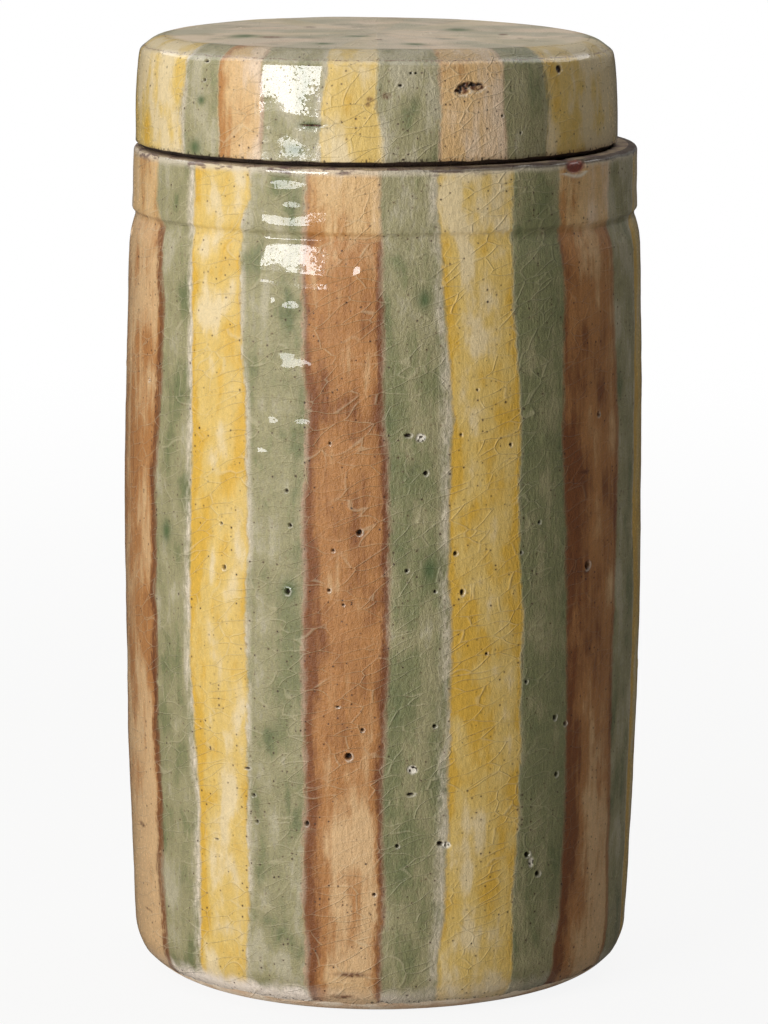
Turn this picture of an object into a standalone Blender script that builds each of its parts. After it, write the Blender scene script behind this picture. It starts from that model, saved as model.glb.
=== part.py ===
"""A lidded storage jar in glazed earthenware: a barrel-shaped body and a cap lid that lifts off it.

Both pieces are turned about one upright axis. Lengths are in metres, +Z is up, and the origin is the
middle of the flat face that the jar stands on.
"""

import math

import bpy

TURN_STEPS = 64
SMOOTH_ANGLE = math.radians(40)
MERGE_DISTANCE = 0.00001

# Body, outside
FOOT_RADIUS = 0.0614  # of the wall where the foot's rounding starts
FOOT_ROUNDING = 0.0104
BELLY_RADIUS = 0.0639
BELLY_HEIGHT = 0.107
RIM_HEIGHT = 0.2049
COLLAR_RADIUS = 0.0616
COLLAR_HEIGHT = 0.0154  # of the band between the groove and the rim
RIM_ROUNDING = 0.0012

# The groove that a tool left under the collar, and the soft ledge below it
GROOVE_WIDTH = 0.0016
GROOVE_DEPTH = 0.0005
LEDGE_WIDTH = 0.0008  # how far the wall below stands proud of the collar
LEDGE_ROUNDING = 0.0045

# Body, inside
WALL = 0.0065
FLOOR_THICKNESS = 0.0075
FLOOR_ROUNDING = 0.010

# Lid
LID_SETBACK = 0.0026  # of the lid's widest edge from the collar's face
LID_HEIGHT = 0.0268  # from the face that rests on the rim to the top
LID_LEAN = 0.0007  # how much narrower the lid's side is at the shoulder
SHOULDER_WIDTH = 0.0046
SHOULDER_DROP = 0.0026
EDGE_CHAMFER_HEIGHT = 0.0010  # the bare edge under the glaze, round the bottom of the lid
EDGE_CHAMFER_WIDTH = 0.0012
LID_WALL = 0.0070
LID_TOP_THICKNESS = 0.0065
LID_INNER_ROUNDING = 0.008

# The lid's inner ring, which keeps it on the mouth
RING_CLEARANCE = 0.0020  # from the mouth, all round
RING_DEPTH = 0.012  # below the face that rests on the rim
RING_WALL = 0.0046
RING_ROUNDING = 0.0012
SEAT_GAP = 0.0003

MOUTH_RADIUS = COLLAR_RADIUS - WALL
GROOVE_HEIGHT = RIM_HEIGHT - COLLAR_HEIGHT
LEDGE_HEIGHT = GROOVE_HEIGHT - GROOVE_WIDTH
SEAT_HEIGHT = RIM_HEIGHT + SEAT_GAP

CLAY_COLOUR = (0.36, 0.30, 0.16, 1.0)
LID_COLOUR = (0.45, 0.34, 0.17, 1.0)


def clear_scene():
    """Removes whatever the scene starts with."""
    for obj in list(bpy.data.objects):
        bpy.data.objects.remove(obj, do_unlink=True)


def new_collection(name):
    collection = bpy.data.collections.new(name)
    bpy.context.scene.collection.children.link(collection)
    return collection


def glazed_clay(name, colour):
    """Glossy fired glaze over clay."""
    material = bpy.data.materials.new(name)
    material.use_nodes = True
    shader = material.node_tree.nodes["Principled BSDF"]
    shader.inputs["Base Color"].default_value = colour
    shader.inputs["Roughness"].default_value = 0.2
    shader.inputs["Metallic"].default_value = 0.0
    material.diffuse_color = colour
    return material


def arc(centre_radius, centre_height, radius, start, end, steps):
    """Points (radius, height) along a quarter turn or less, its angles in degrees from outwards, towards up."""
    points = []
    for step in range(steps + 1):
        angle = math.radians(start + (end - start) * step / steps)
        points.append((centre_radius + radius * math.cos(angle), centre_height + radius * math.sin(angle)))
    return points


def evenly(start, end, steps):
    """Values from start to end, both among them."""
    return [start + (end - start) * step / steps for step in range(steps + 1)]


def wall_radius(height):
    """Outside radius of the barrel: fullest at the belly, drawn in towards the foot and the ledge."""
    if height < BELLY_HEIGHT:
        share = (BELLY_HEIGHT - height) / (BELLY_HEIGHT - FOOT_ROUNDING)
        return BELLY_RADIUS + (FOOT_RADIUS - BELLY_RADIUS) * share**2
    share = (height - BELLY_HEIGHT) / (LEDGE_HEIGHT - BELLY_HEIGHT)
    return BELLY_RADIUS + (COLLAR_RADIUS + LEDGE_WIDTH - BELLY_RADIUS) * share**2


def ledge_radius(height):
    """The barrel's radius where it rounds over into the groove."""
    share = (height - LEDGE_HEIGHT + LEDGE_ROUNDING) / LEDGE_ROUNDING
    drop = LEDGE_WIDTH + GROOVE_DEPTH
    return wall_radius(height) - drop * (1 - math.sqrt(max(0, 1 - share**2)))


def body_inside():
    """The floor from its middle, its rounded corner, the wall and the mouth, bottom to top."""
    corner_height = FLOOR_THICKNESS + FLOOR_ROUNDING
    corner_radius = wall_radius(corner_height) - WALL
    points = [(0, FLOOR_THICKNESS)]
    points += arc(corner_radius - FLOOR_ROUNDING, corner_height, FLOOR_ROUNDING, -90, 0, 5)
    for height in evenly(corner_height, LEDGE_HEIGHT, 8)[1:-1]:
        points.append((wall_radius(height) - WALL, height))
    points.append((MOUTH_RADIUS, GROOVE_HEIGHT))
    points += arc(MOUTH_RADIUS + RIM_ROUNDING, RIM_HEIGHT - RIM_ROUNDING, RIM_ROUNDING, 180, 90, 3)
    return points


def body_outside():
    """The rim, the collar, the groove and its ledge, the barrel and the foot, top to bottom."""
    points = arc(COLLAR_RADIUS - RIM_ROUNDING, RIM_HEIGHT - RIM_ROUNDING, RIM_ROUNDING, 90, 0, 4)
    points.append((COLLAR_RADIUS, GROOVE_HEIGHT))
    points.append((COLLAR_RADIUS - GROOVE_DEPTH, GROOVE_HEIGHT - GROOVE_WIDTH / 2))
    for height in evenly(LEDGE_HEIGHT, LEDGE_HEIGHT - LEDGE_ROUNDING, 5):
        points.append((ledge_radius(height), height))
    for height in evenly(LEDGE_HEIGHT - LEDGE_ROUNDING, FOOT_ROUNDING, 12)[1:-1]:
        points.append((wall_radius(height), height))
    points += arc(FOOT_RADIUS - FOOT_ROUNDING, FOOT_ROUNDING, FOOT_ROUNDING, 0, -90, 8)
    points.append((0, 0))
    return points


def lid_outside():
    """The flat top, the shoulder, the side and the bare edge, down to the face that rests on the rim."""
    top = SEAT_HEIGHT + LID_HEIGHT
    edge_radius = COLLAR_RADIUS - LID_SETBACK
    side_radius = edge_radius - LID_LEAN
    return [
        (0, top),
        (side_radius - SHOULDER_WIDTH, top),
        (side_radius, top - SHOULDER_DROP),
        (edge_radius, SEAT_HEIGHT + EDGE_CHAMFER_HEIGHT),
        (edge_radius - EDGE_CHAMFER_WIDTH, SEAT_HEIGHT),
    ]


def lid_inside():
    """The ring from the seat down and up again, the lid's inner wall and its ceiling, to the axis."""
    ring_radius = MOUTH_RADIUS - RING_CLEARANCE
    bore_radius = ring_radius - RING_WALL
    ring_bottom = SEAT_HEIGHT - RING_DEPTH
    inner_radius = COLLAR_RADIUS - LID_SETBACK - LID_WALL
    ceiling = SEAT_HEIGHT + LID_HEIGHT - LID_TOP_THICKNESS
    corner_height = ceiling - LID_INNER_ROUNDING
    points = [(ring_radius, SEAT_HEIGHT)]
    points += arc(ring_radius - RING_ROUNDING, ring_bottom + RING_ROUNDING, RING_ROUNDING, 0, -90, 3)
    points += arc(bore_radius + RING_ROUNDING, ring_bottom + RING_ROUNDING, RING_ROUNDING, -90, -180, 3)
    points.append((bore_radius, SEAT_HEIGHT))
    points += arc(inner_radius - LID_INNER_ROUNDING, corner_height, LID_INNER_ROUNDING, 0, 90, 5)
    points.append((0, ceiling))
    return points


def turned(name, outline, material, collection):
    """A closed piece made by turning an outline of (radius, height) points about the upright axis."""
    mesh = bpy.data.meshes.new(name)
    mesh.from_pydata([(radius, 0, height) for radius, height in outline],
                     [(index, index + 1) for index in range(len(outline) - 1)], [])
    obj = bpy.data.objects.new(name, mesh)
    collection.objects.link(obj)
    screw = obj.modifiers.new("Turn", "SCREW")
    screw.axis = "Z"
    screw.angle = math.tau
    screw.steps = TURN_STEPS
    screw.render_steps = TURN_STEPS
    screw.use_merge_vertices = True
    screw.merge_threshold = MERGE_DISTANCE
    settle(obj)
    obj.data.materials.append(material)
    return obj


def settle(obj):
    """Makes the turned shape the object's own mesh, and shades it smooth but for its edges."""
    graph = bpy.context.evaluated_depsgraph_get()
    profile = obj.data
    obj.data = bpy.data.meshes.new_from_object(obj.evaluated_get(graph))
    obj.data.name = obj.name
    obj.modifiers.clear()
    bpy.data.meshes.remove(profile)
    obj.data.shade_smooth()
    obj.data.set_sharp_from_angle(angle=SMOOTH_ANGLE)


def make_body(collection):
    """The pot itself, open at the top."""
    return turned("jar_body", body_inside() + body_outside(), glazed_clay("body_glaze", CLAY_COLOUR), collection)


def make_lid(collection):
    """The cap: hollow below, with a ring that hangs inside the mouth."""
    return turned("lid", lid_outside() + lid_inside(), glazed_clay("lid_glaze", LID_COLOUR), collection)


def main():
    clear_scene()
    jar = new_collection("storage_jar")
    make_body(jar)
    make_lid(jar)


main()
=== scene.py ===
"""The looks of a striped earthenware storage jar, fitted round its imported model.

Two pieces are dressed, the pot and its cap lid. Each is one closed mesh, turned from an outline and then
given the waves, grooves, pinholes and chips of the real clay, under a painted and crackled glaze.
Lengths are in metres unless a name or a comment says millimetres.
"""

import logging
import math
import random
from dataclasses import dataclass, field
from enum import Enum
from typing import Callable, Sequence, Union

import bmesh
import bpy
import numpy as np
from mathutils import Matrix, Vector, noise


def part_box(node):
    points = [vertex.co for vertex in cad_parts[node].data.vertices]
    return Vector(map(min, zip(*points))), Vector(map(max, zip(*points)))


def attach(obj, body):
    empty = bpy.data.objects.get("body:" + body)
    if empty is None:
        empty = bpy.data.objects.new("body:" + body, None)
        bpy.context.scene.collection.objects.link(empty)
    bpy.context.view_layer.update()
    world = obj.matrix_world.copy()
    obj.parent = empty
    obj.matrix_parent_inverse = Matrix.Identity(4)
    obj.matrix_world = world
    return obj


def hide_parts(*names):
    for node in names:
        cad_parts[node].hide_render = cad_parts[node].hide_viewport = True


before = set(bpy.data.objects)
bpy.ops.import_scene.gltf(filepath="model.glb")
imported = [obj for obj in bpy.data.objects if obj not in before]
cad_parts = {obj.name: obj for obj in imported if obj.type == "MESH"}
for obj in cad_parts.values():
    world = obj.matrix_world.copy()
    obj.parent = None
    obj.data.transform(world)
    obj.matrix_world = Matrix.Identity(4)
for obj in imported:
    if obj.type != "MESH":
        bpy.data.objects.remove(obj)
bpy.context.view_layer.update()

MM = 0.001
PAINTING = "Painting"  # UV map: stripes counted across, millimetres down the outline
BAKING = "OFBake"  # UV map: where each face lies in the baked pictures
log = logging.getLogger("striped_jar")

MIDDLE = 0.5  # of a random field, of a stroke and of a strength
STROKES_IN_TURN = 4.0  # brown, green, yellow, green
WHITE = (1.0, 1.0, 1.0)

Colour = tuple[float, float, float]
Point = tuple[float, float]
Span = tuple[float, float]  # where a fade is 0 and where it is 1, or the ends of a random draw
Value = Union["Signal", float]
Sockets = dict[Union[str, int], object]


def pigment(red: int, green: int, blue: int) -> Colour:
    """Turns a colour as a screen shows it, 0 to 255, into the linear colour that a shader takes."""
    return tuple(((part / 255 + 0.055) / 1.055) ** 2.4 for part in (red, green, blue))


class Signal:
    """One socket of a shader, with arithmetic that adds the Math nodes it needs."""

    def __init__(self, board: "Board", socket: bpy.types.NodeSocket) -> None:
        """Keeps the socket and the board that it is on."""
        self.board = board
        self.socket = socket

    def _maths(self, operation: str, *values: Value) -> "Signal":
        """Adds a Math node.

        Args:
            operation: the Math node's operation.
            values: what its sockets take, in order.

        Returns:
            The node's result.
        """
        return self.board.add("ShaderNodeMath", {"operation": operation}, dict(enumerate(values)))

    def __add__(self, other: Value) -> "Signal":
        """self + other."""
        return self._maths("ADD", self, other)

    def __radd__(self, other: float) -> "Signal":
        """other + self."""
        return self._maths("ADD", other, self)

    def __sub__(self, other: Value) -> "Signal":
        """self - other."""
        return self._maths("SUBTRACT", self, other)

    def __rsub__(self, other: float) -> "Signal":
        """other - self."""
        return self._maths("SUBTRACT", other, self)

    def __mul__(self, other: Value) -> "Signal":
        """self * other."""
        return self._maths("MULTIPLY", self, other)

    def __rmul__(self, other: float) -> "Signal":
        """other * self."""
        return self._maths("MULTIPLY", other, self)

    def __truediv__(self, other: Value) -> "Signal":
        """self / other."""
        return self._maths("DIVIDE", self, other)

    def __mod__(self, other: Value) -> "Signal":
        """What is left of self after whole steps of other, never below zero."""
        return self._maths("FLOORED_MODULO", self, other)

    def __gt__(self, other: Value) -> "Signal":
        """1 where self is above other, else 0."""
        return self._maths("GREATER_THAN", self, other)

    def __abs__(self) -> "Signal":
        """self without its sign."""
        return self._maths("ABSOLUTE", self)

    def floor(self) -> "Signal":
        """The whole number at or below self."""
        return self._maths("FLOOR", self)

    def most(self, other: Value) -> "Signal":
        """The larger of self and other."""
        return self._maths("MAXIMUM", self, other)

    def fade(self, start: float, end: float) -> "Signal":
        """Rises smoothly from 0 where self is start to 1 where self is end.

        Args:
            start: where it is 0. It may be above end.
            end: where it is 1.

        Returns:
            A value from 0 to 1.
        """
        return self.board.add("ShaderNodeMapRange", {"interpolation_type": "SMOOTHSTEP"},
                              {"Value": self, "From Min": start, "From Max": end})


@dataclass(frozen=True)
class Cloud:
    """A field of soft random patches."""

    width: float  # of a patch round the piece, in millimetres
    height: float  # of a patch up and down, in millimetres
    octaves: float  # how many finer layers are added
    seed: float  # moves the pattern, so that two of them differ


class Board:
    """The nodes of one material or of the world."""

    def __init__(self, tree: bpy.types.NodeTree) -> None:
        """Takes an empty board from a node tree."""
        self.tree = tree
        tree.nodes.clear()

    def node(self, kind: str, settings: dict[str, object], sockets: Sockets) -> bpy.types.Node:
        """Adds one node.

        Args:
            kind: the node's type.
            settings: its properties, which are set first.
            sockets: values or signals for its input sockets, by name or number.

        Returns:
            The new node.
        """
        made = self.tree.nodes.new(kind)
        for name, setting in settings.items():
            setattr(made, name, setting)
        for key, given in sockets.items():
            socket = made.inputs[key]
            if isinstance(given, Signal):
                self.tree.links.new(given.socket, socket)
            elif socket.type == "RGBA":
                socket.default_value = (*given, 1.0)
            else:
                socket.default_value = given
        return made

    def add(self, kind: str, settings: dict[str, object], sockets: Sockets,
            output: Union[str, int] = 0) -> Signal:
        """Adds one node and takes one of its outputs.

        Args:
            kind: the node's type.
            settings: its properties.
            sockets: values or signals for its input sockets.
            output: the output wanted, by name or number.

        Returns:
            That output.
        """
        return Signal(self, self.node(kind, settings, sockets).outputs[output])

    def blend(self, share: Value, first: object, second: object, how: str = "MIX") -> Signal:
        """Lays one colour over another.

        Args:
            share: how much of the second shows, from 0 to 1.
            first: the colour below.
            second: the colour on top.
            how: the Mix node's blend type.

        Returns:
            The mixed colour.
        """
        return self.add("ShaderNodeMix", {"data_type": "RGBA", "blend_type": how},
                        {0: share, 6: first, 7: second}, 2)

    def scaled(self, place: Signal, sizes: tuple[float, float, float]) -> Signal:
        """Divides a place by a size along each axis."""
        return self.add("ShaderNodeVectorMath", {"operation": "DIVIDE"}, {0: place, 1: sizes})

    def cloud(self, place: Signal, cloud: Cloud, output: str = "Fac") -> Signal:
        """Soft random patches.

        Args:
            place: where on the piece, in millimetres.
            cloud: how big the patches are.
            output: "Fac" for a value, "Color" for three of them.

        Returns:
            A value round 0.5, mostly between 0.3 and 0.7.
        """
        scale = (1 / cloud.width, 1 / cloud.width, 1 / cloud.height)
        moved = self.add("ShaderNodeVectorMath", {"operation": "MULTIPLY_ADD"},
                         {0: place, 1: scale, 2: (cloud.seed, -2 * cloud.seed, 3 * cloud.seed)})
        return self.add("ShaderNodeTexNoise", {},
                        {"Vector": moved, "Scale": 1.0, "Detail": cloud.octaves}, output)

    def cells(self, place: Signal, size: float) -> tuple[Signal, Signal]:
        """Cells scattered at random, each round its own centre.

        Args:
            place: where on the piece, in millimetres.
            size: how wide a cell is, in millimetres.

        Returns:
            Distance from the nearest centre in millimetres, and a random value of the cell.
        """
        shrunk = self.scaled(place, (size,) * 3)
        made = self.node("ShaderNodeTexVoronoi", {}, {"Vector": shrunk, "Scale": 1.0})
        draw = self.add("ShaderNodeSeparateColor", {}, {0: Signal(self, made.outputs["Color"])}, 0)
        return Signal(self, made.outputs["Distance"]) * size, draw

    def table(self, number: Signal, entries: Sequence[Colour]) -> Signal:
        """Looks up an entry by its whole number.

        Args:
            number: the entry's number.
            entries: three values for each number from 0 up.

        Returns:
            The entry, as a colour.
        """
        ramp = self.node("ShaderNodeValToRGB", {}, {0: (number + 0.5) / float(len(entries))})
        ramp.color_ramp.interpolation = "CONSTANT"
        stops = ramp.color_ramp.elements
        for index, entry in enumerate(entries):
            stop = stops[0] if index == 0 else stops[1] if index == 1 else stops.new(index / len(entries))
            stop.position, stop.color = index / len(entries), (*entry, 1.0)
        return Signal(self, ramp.outputs[0])

    def split(self, vector: Signal) -> tuple[Signal, Signal, Signal]:
        """The three parts of a vector or a colour."""
        made = self.node("ShaderNodeSeparateXYZ", {}, {0: vector})
        return tuple(Signal(self, output) for output in made.outputs)

    def seen_by(self) -> tuple[Signal, Signal]:
        """1 for what the camera sees, also through clear things, and 1 for what a mirroring surface sees.

        Returns:
            The two values.
        """
        path = self.node("ShaderNodeLightPath", {}, {})
        camera, through, glossy = (Signal(self, path.outputs[name])
                                   for name in ("Is Camera Ray", "Is Transmission Ray", "Is Glossy Ray"))
        return camera + through, glossy


class Finish(Enum):
    """The finishes of a piece, in the order of its material slots."""

    GLAZE = 0
    CLAY = 1
    LINING = 2


class Trace(Enum):
    """What a mark leaves in the surface, each a vertex attribute that the glaze reads."""

    PIT = "pit"
    # chalky bottoms of sores, and painted highlights on the lit lips of pits and scores
    CHALK_AND_GLINT = "chalk_and_glint"
    POOL = "pool"
    RUST = "rust"
    BRICK = "brick"
    MATT = "matt"
    HAZE = "haze"


def new_material(name: str) -> tuple[bpy.types.Material, Board]:
    """Makes a material with an empty board.

    Args:
        name: the material's name.

    Returns:
        The material and its board.
    """
    material = bpy.data.materials.new(name)
    material.use_nodes = True
    return material, Board(material.node_tree)


@dataclass(frozen=True)
class Ground:
    """What every finish starts from: the board, and where on the piece a point is."""

    board: Board
    coat_index: float = 1.6  # the clear glaze's index of refraction

    @property
    def place(self) -> Signal:
        """The point in millimetres."""
        at = self.board.add("ShaderNodeTexCoord", {}, {}, "Object")
        return self.board.scaled(at, (MM, MM, MM))

    def relief(self, height: Signal, depth: float) -> Signal:
        """Turns a height from 0 to 1 into a normal.

        Args:
            height: how far the surface stands out.
            depth: the height that 1 stands for, in metres.

        Returns:
            The bumped normal.
        """
        return self.board.add("ShaderNodeBump", {}, {"Strength": 1.0, "Distance": depth, "Height": height})

    def close(self, colour: Signal, roughness: Value, normal: Signal, coat: Value = 0.0,
              coat_roughness: float = 0.04) -> None:
        """Ends a material in one Principled shader.

        Args:
            colour: the colour.
            roughness: of the surface under the coat.
            normal: the bumped normal, which the coat lies smoothly over.
            coat: how much clear coat there is, from 0 to 1.
            coat_roughness: of the coat.
        """
        shader = self.board.add("ShaderNodeBsdfPrincipled", {},
                                {"Base Color": colour, "Roughness": roughness, "Normal": normal,
                                 "Coat Weight": coat, "Coat Roughness": coat_roughness,
                                 "Coat IOR": self.coat_index})
        self.board.node("ShaderNodeOutputMaterial", {}, {"Surface": shader})


@dataclass(frozen=True)
class BareClay:
    """Fired clay where the glaze was wiped off."""

    pale: Colour
    dark: Colour
    roughness: float = 0.8
    relief_depth: float = 0.00012
    clouds: Cloud = Cloud(5.0, 2.5, 4.0, 31.0)
    sand: Cloud = Cloud(0.7, 0.7, 4.0, 32.0)
    turning: Cloud = Cloud(9.0, 0.8, 2.0, 33.0)  # the fine lines that turning leaves
    grog_cell: float = 1.4  # millimetres from one dark grain to the next
    grog_share: float = 0.45  # how dark the grains are

    def grains(self, board: Board, place: Signal) -> tuple[Signal, Signal]:
        """The clay's clouds, and its dark grains of grog.

        Args:
            board: to draw on.
            place: the point in millimetres.

        Returns:
            How dark the clay is, and where a grain lies.
        """
        distance, _ = board.cells(place, self.grog_cell)
        return board.cloud(place, self.clouds).fade(0.36, 0.66), distance.fade(0.30, 0.14)

    def colour(self, board: Board, grains: tuple[Signal, Signal]) -> Signal:
        """The clay's colour.

        Args:
            board: to draw on.
            grains: the clouds and the grog.

        Returns:
            The colour.
        """
        cloudy, grog = grains
        return board.blend(grog * self.grog_share, board.blend(cloudy, self.pale, self.dark), self.dark)

    def material(self, name: str) -> bpy.types.Material:
        """The clay as a material of its own.

        Args:
            name: the material's name.

        Returns:
            The material.
        """
        made, board = new_material(name)
        ground = Ground(board)
        place = ground.place
        height = board.cloud(place, self.sand) * 0.6 + board.cloud(place, self.turning) * 0.5
        normal = ground.relief(height, self.relief_depth)
        ground.close(self.colour(board, self.grains(board, place)), self.roughness, normal)
        return made


@dataclass(frozen=True)
class Crackle:
    """The net of fine cracks in the glaze."""

    cell: float = 7.6  # across one cell, in millimetres
    flat: float = 0.58  # its height as a share of that
    slant: float = -0.022  # radians of twist for each millimetre up, so that cells lean to the upper right
    warp: float = 7.0  # how far the cracks stray from straight, in millimetres
    warp_reach: float = 1.6  # from one bend to the next, in cells
    ridge: float = 0.36  # half the width of the ridge along a crack, in millimetres
    crack_share: float = 0.6  # of the ridge's half width that the crack takes up
    crack_core: float = 0.05  # half the width of its full depth, in millimetres

    def lines(self, board: Board, place: Signal) -> tuple[Signal, Signal]:
        """The cracks, and the glaze's low ridges along them.

        Args:
            board: to draw on.
            place: the point in millimetres.

        Returns:
            How much of a crack there is, and how much of a ridge.
        """
        bend = self.cell * self.warp_reach
        drift = board.cloud(place, Cloud(bend, bend, 1.0, 1.0), "Color")
        twisted = board.add("ShaderNodeVectorRotate", {"rotation_type": "Z_AXIS"},
                            {"Vector": place, "Angle": board.split(place)[2] * self.slant})
        moved = board.add("ShaderNodeVectorMath", {"operation": "MULTIPLY_ADD"},
                          {0: drift, 1: (self.warp,) * 3, 2: twisted})
        size = (self.cell, self.cell, self.cell * self.flat)
        away = board.add("ShaderNodeTexVoronoi", {"feature": "DISTANCE_TO_EDGE"},
                         {"Vector": board.scaled(moved, size), "Scale": 1.0}, "Distance") * self.cell
        return away.fade(self.ridge * self.crack_share, self.crack_core), away.fade(self.ridge, 0.0)


@dataclass(frozen=True)
class Wash:
    """One paint, from washed out to thick."""

    thin: Colour
    full: Colour
    thick: Colour

    def colour(self, board: Board, density: Signal) -> Signal:
        """The paint's colour.

        Args:
            board: to draw on.
            density: how thick it lies, 0.5 being its usual strength.

        Returns:
            The colour.
        """
        washed_out = board.blend(density.fade(0.05, 0.5), self.thin, self.full)
        return board.blend(density.fade(0.5, 0.95), washed_out, self.thick)


@dataclass(frozen=True)
class GlazeBand:
    """How one piece wears its glaze. Heights are in millimetres up from the foot."""

    low: float  # where the glaze ends below
    high: float  # where it ends above
    ragged: float  # how far those two edges stray
    rolled: float  # how pale the thick lower edge of the glaze is
    low_clay: BareClay
    high_clay: BareClay
    washed_above: float  # from here up the strokes are washed out, and the brown is orange
    full_height: float  # where the paints lie thickest
    full_reach: float  # how far from there they have thinned out
    worn_from: float  # millimetres down the outline from where the glaze is rubbed and smeared
    strength: float  # of the paint where it lies thickest
    gloss: float  # how much of the clear glaze lies smooth over it
    drained: float  # how much the washed-out paint thins from left to right
    strokes: Sequence[Colour]  # each stroke's strength, its lean from left to right, how hollow its middle is
    seams: Sequence[Colour]  # for the edge before each stroke: how pale, how wide, how dark beside brown
    lines: tuple[float, ...] = ()  # millimetres down the outline to the edges that wear the glaze thin


# The random fields that several of the glaze's looks share
SHARED_FIELDS = {
    "blot": Cloud(8.0, 22.0, 3.0, 11.0),
    "patch": Cloud(6.0, 11.0, 4.0, 12.0),
    "streak": Cloud(1.3, 18.0, 3.0, 13.0),
    "wander": Cloud(3.0, 9.0, 3.0, 14.0),
    "grit": Cloud(0.75, 1.7, 3.0, 15.0),
    "grain": Cloud(0.32, 0.32, 2.0, 16.0),
}


@dataclass(frozen=True)
class Spot:
    """A point of the glaze, with the shared fields there."""

    place: Signal  # in millimetres
    across: Signal  # the stripe coordinate, whole at each edge between two strokes
    down: Signal  # millimetres down the outline
    sideways: Signal  # millimetres to the right of the axis
    up: Signal  # millimetres up from the foot
    blot: Signal  # large upright patches
    patch: Signal  # smaller ones
    streak: Signal  # the brush's hairs
    wander: Signal  # what makes an edge stray
    grit: Signal  # fine specks
    grain: Signal  # the finest


@dataclass(frozen=True)
class Stroke:
    """Where a point lies among the brush strokes, and how its own stroke was laid on."""

    number: Signal
    boundary: Signal  # the number of the nearest edge between two strokes
    inside: Signal  # from 0 at its left edge to 1 at its right
    from_edge: Signal  # millimetres to the nearest edge
    strength: Signal
    lean: Signal  # above 0 where it is thicker at its right
    hollow: Signal
    pale: Signal  # of the nearest edge
    width: Signal
    dark: Signal
    is_brown: Signal
    is_yellow: Signal


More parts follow.
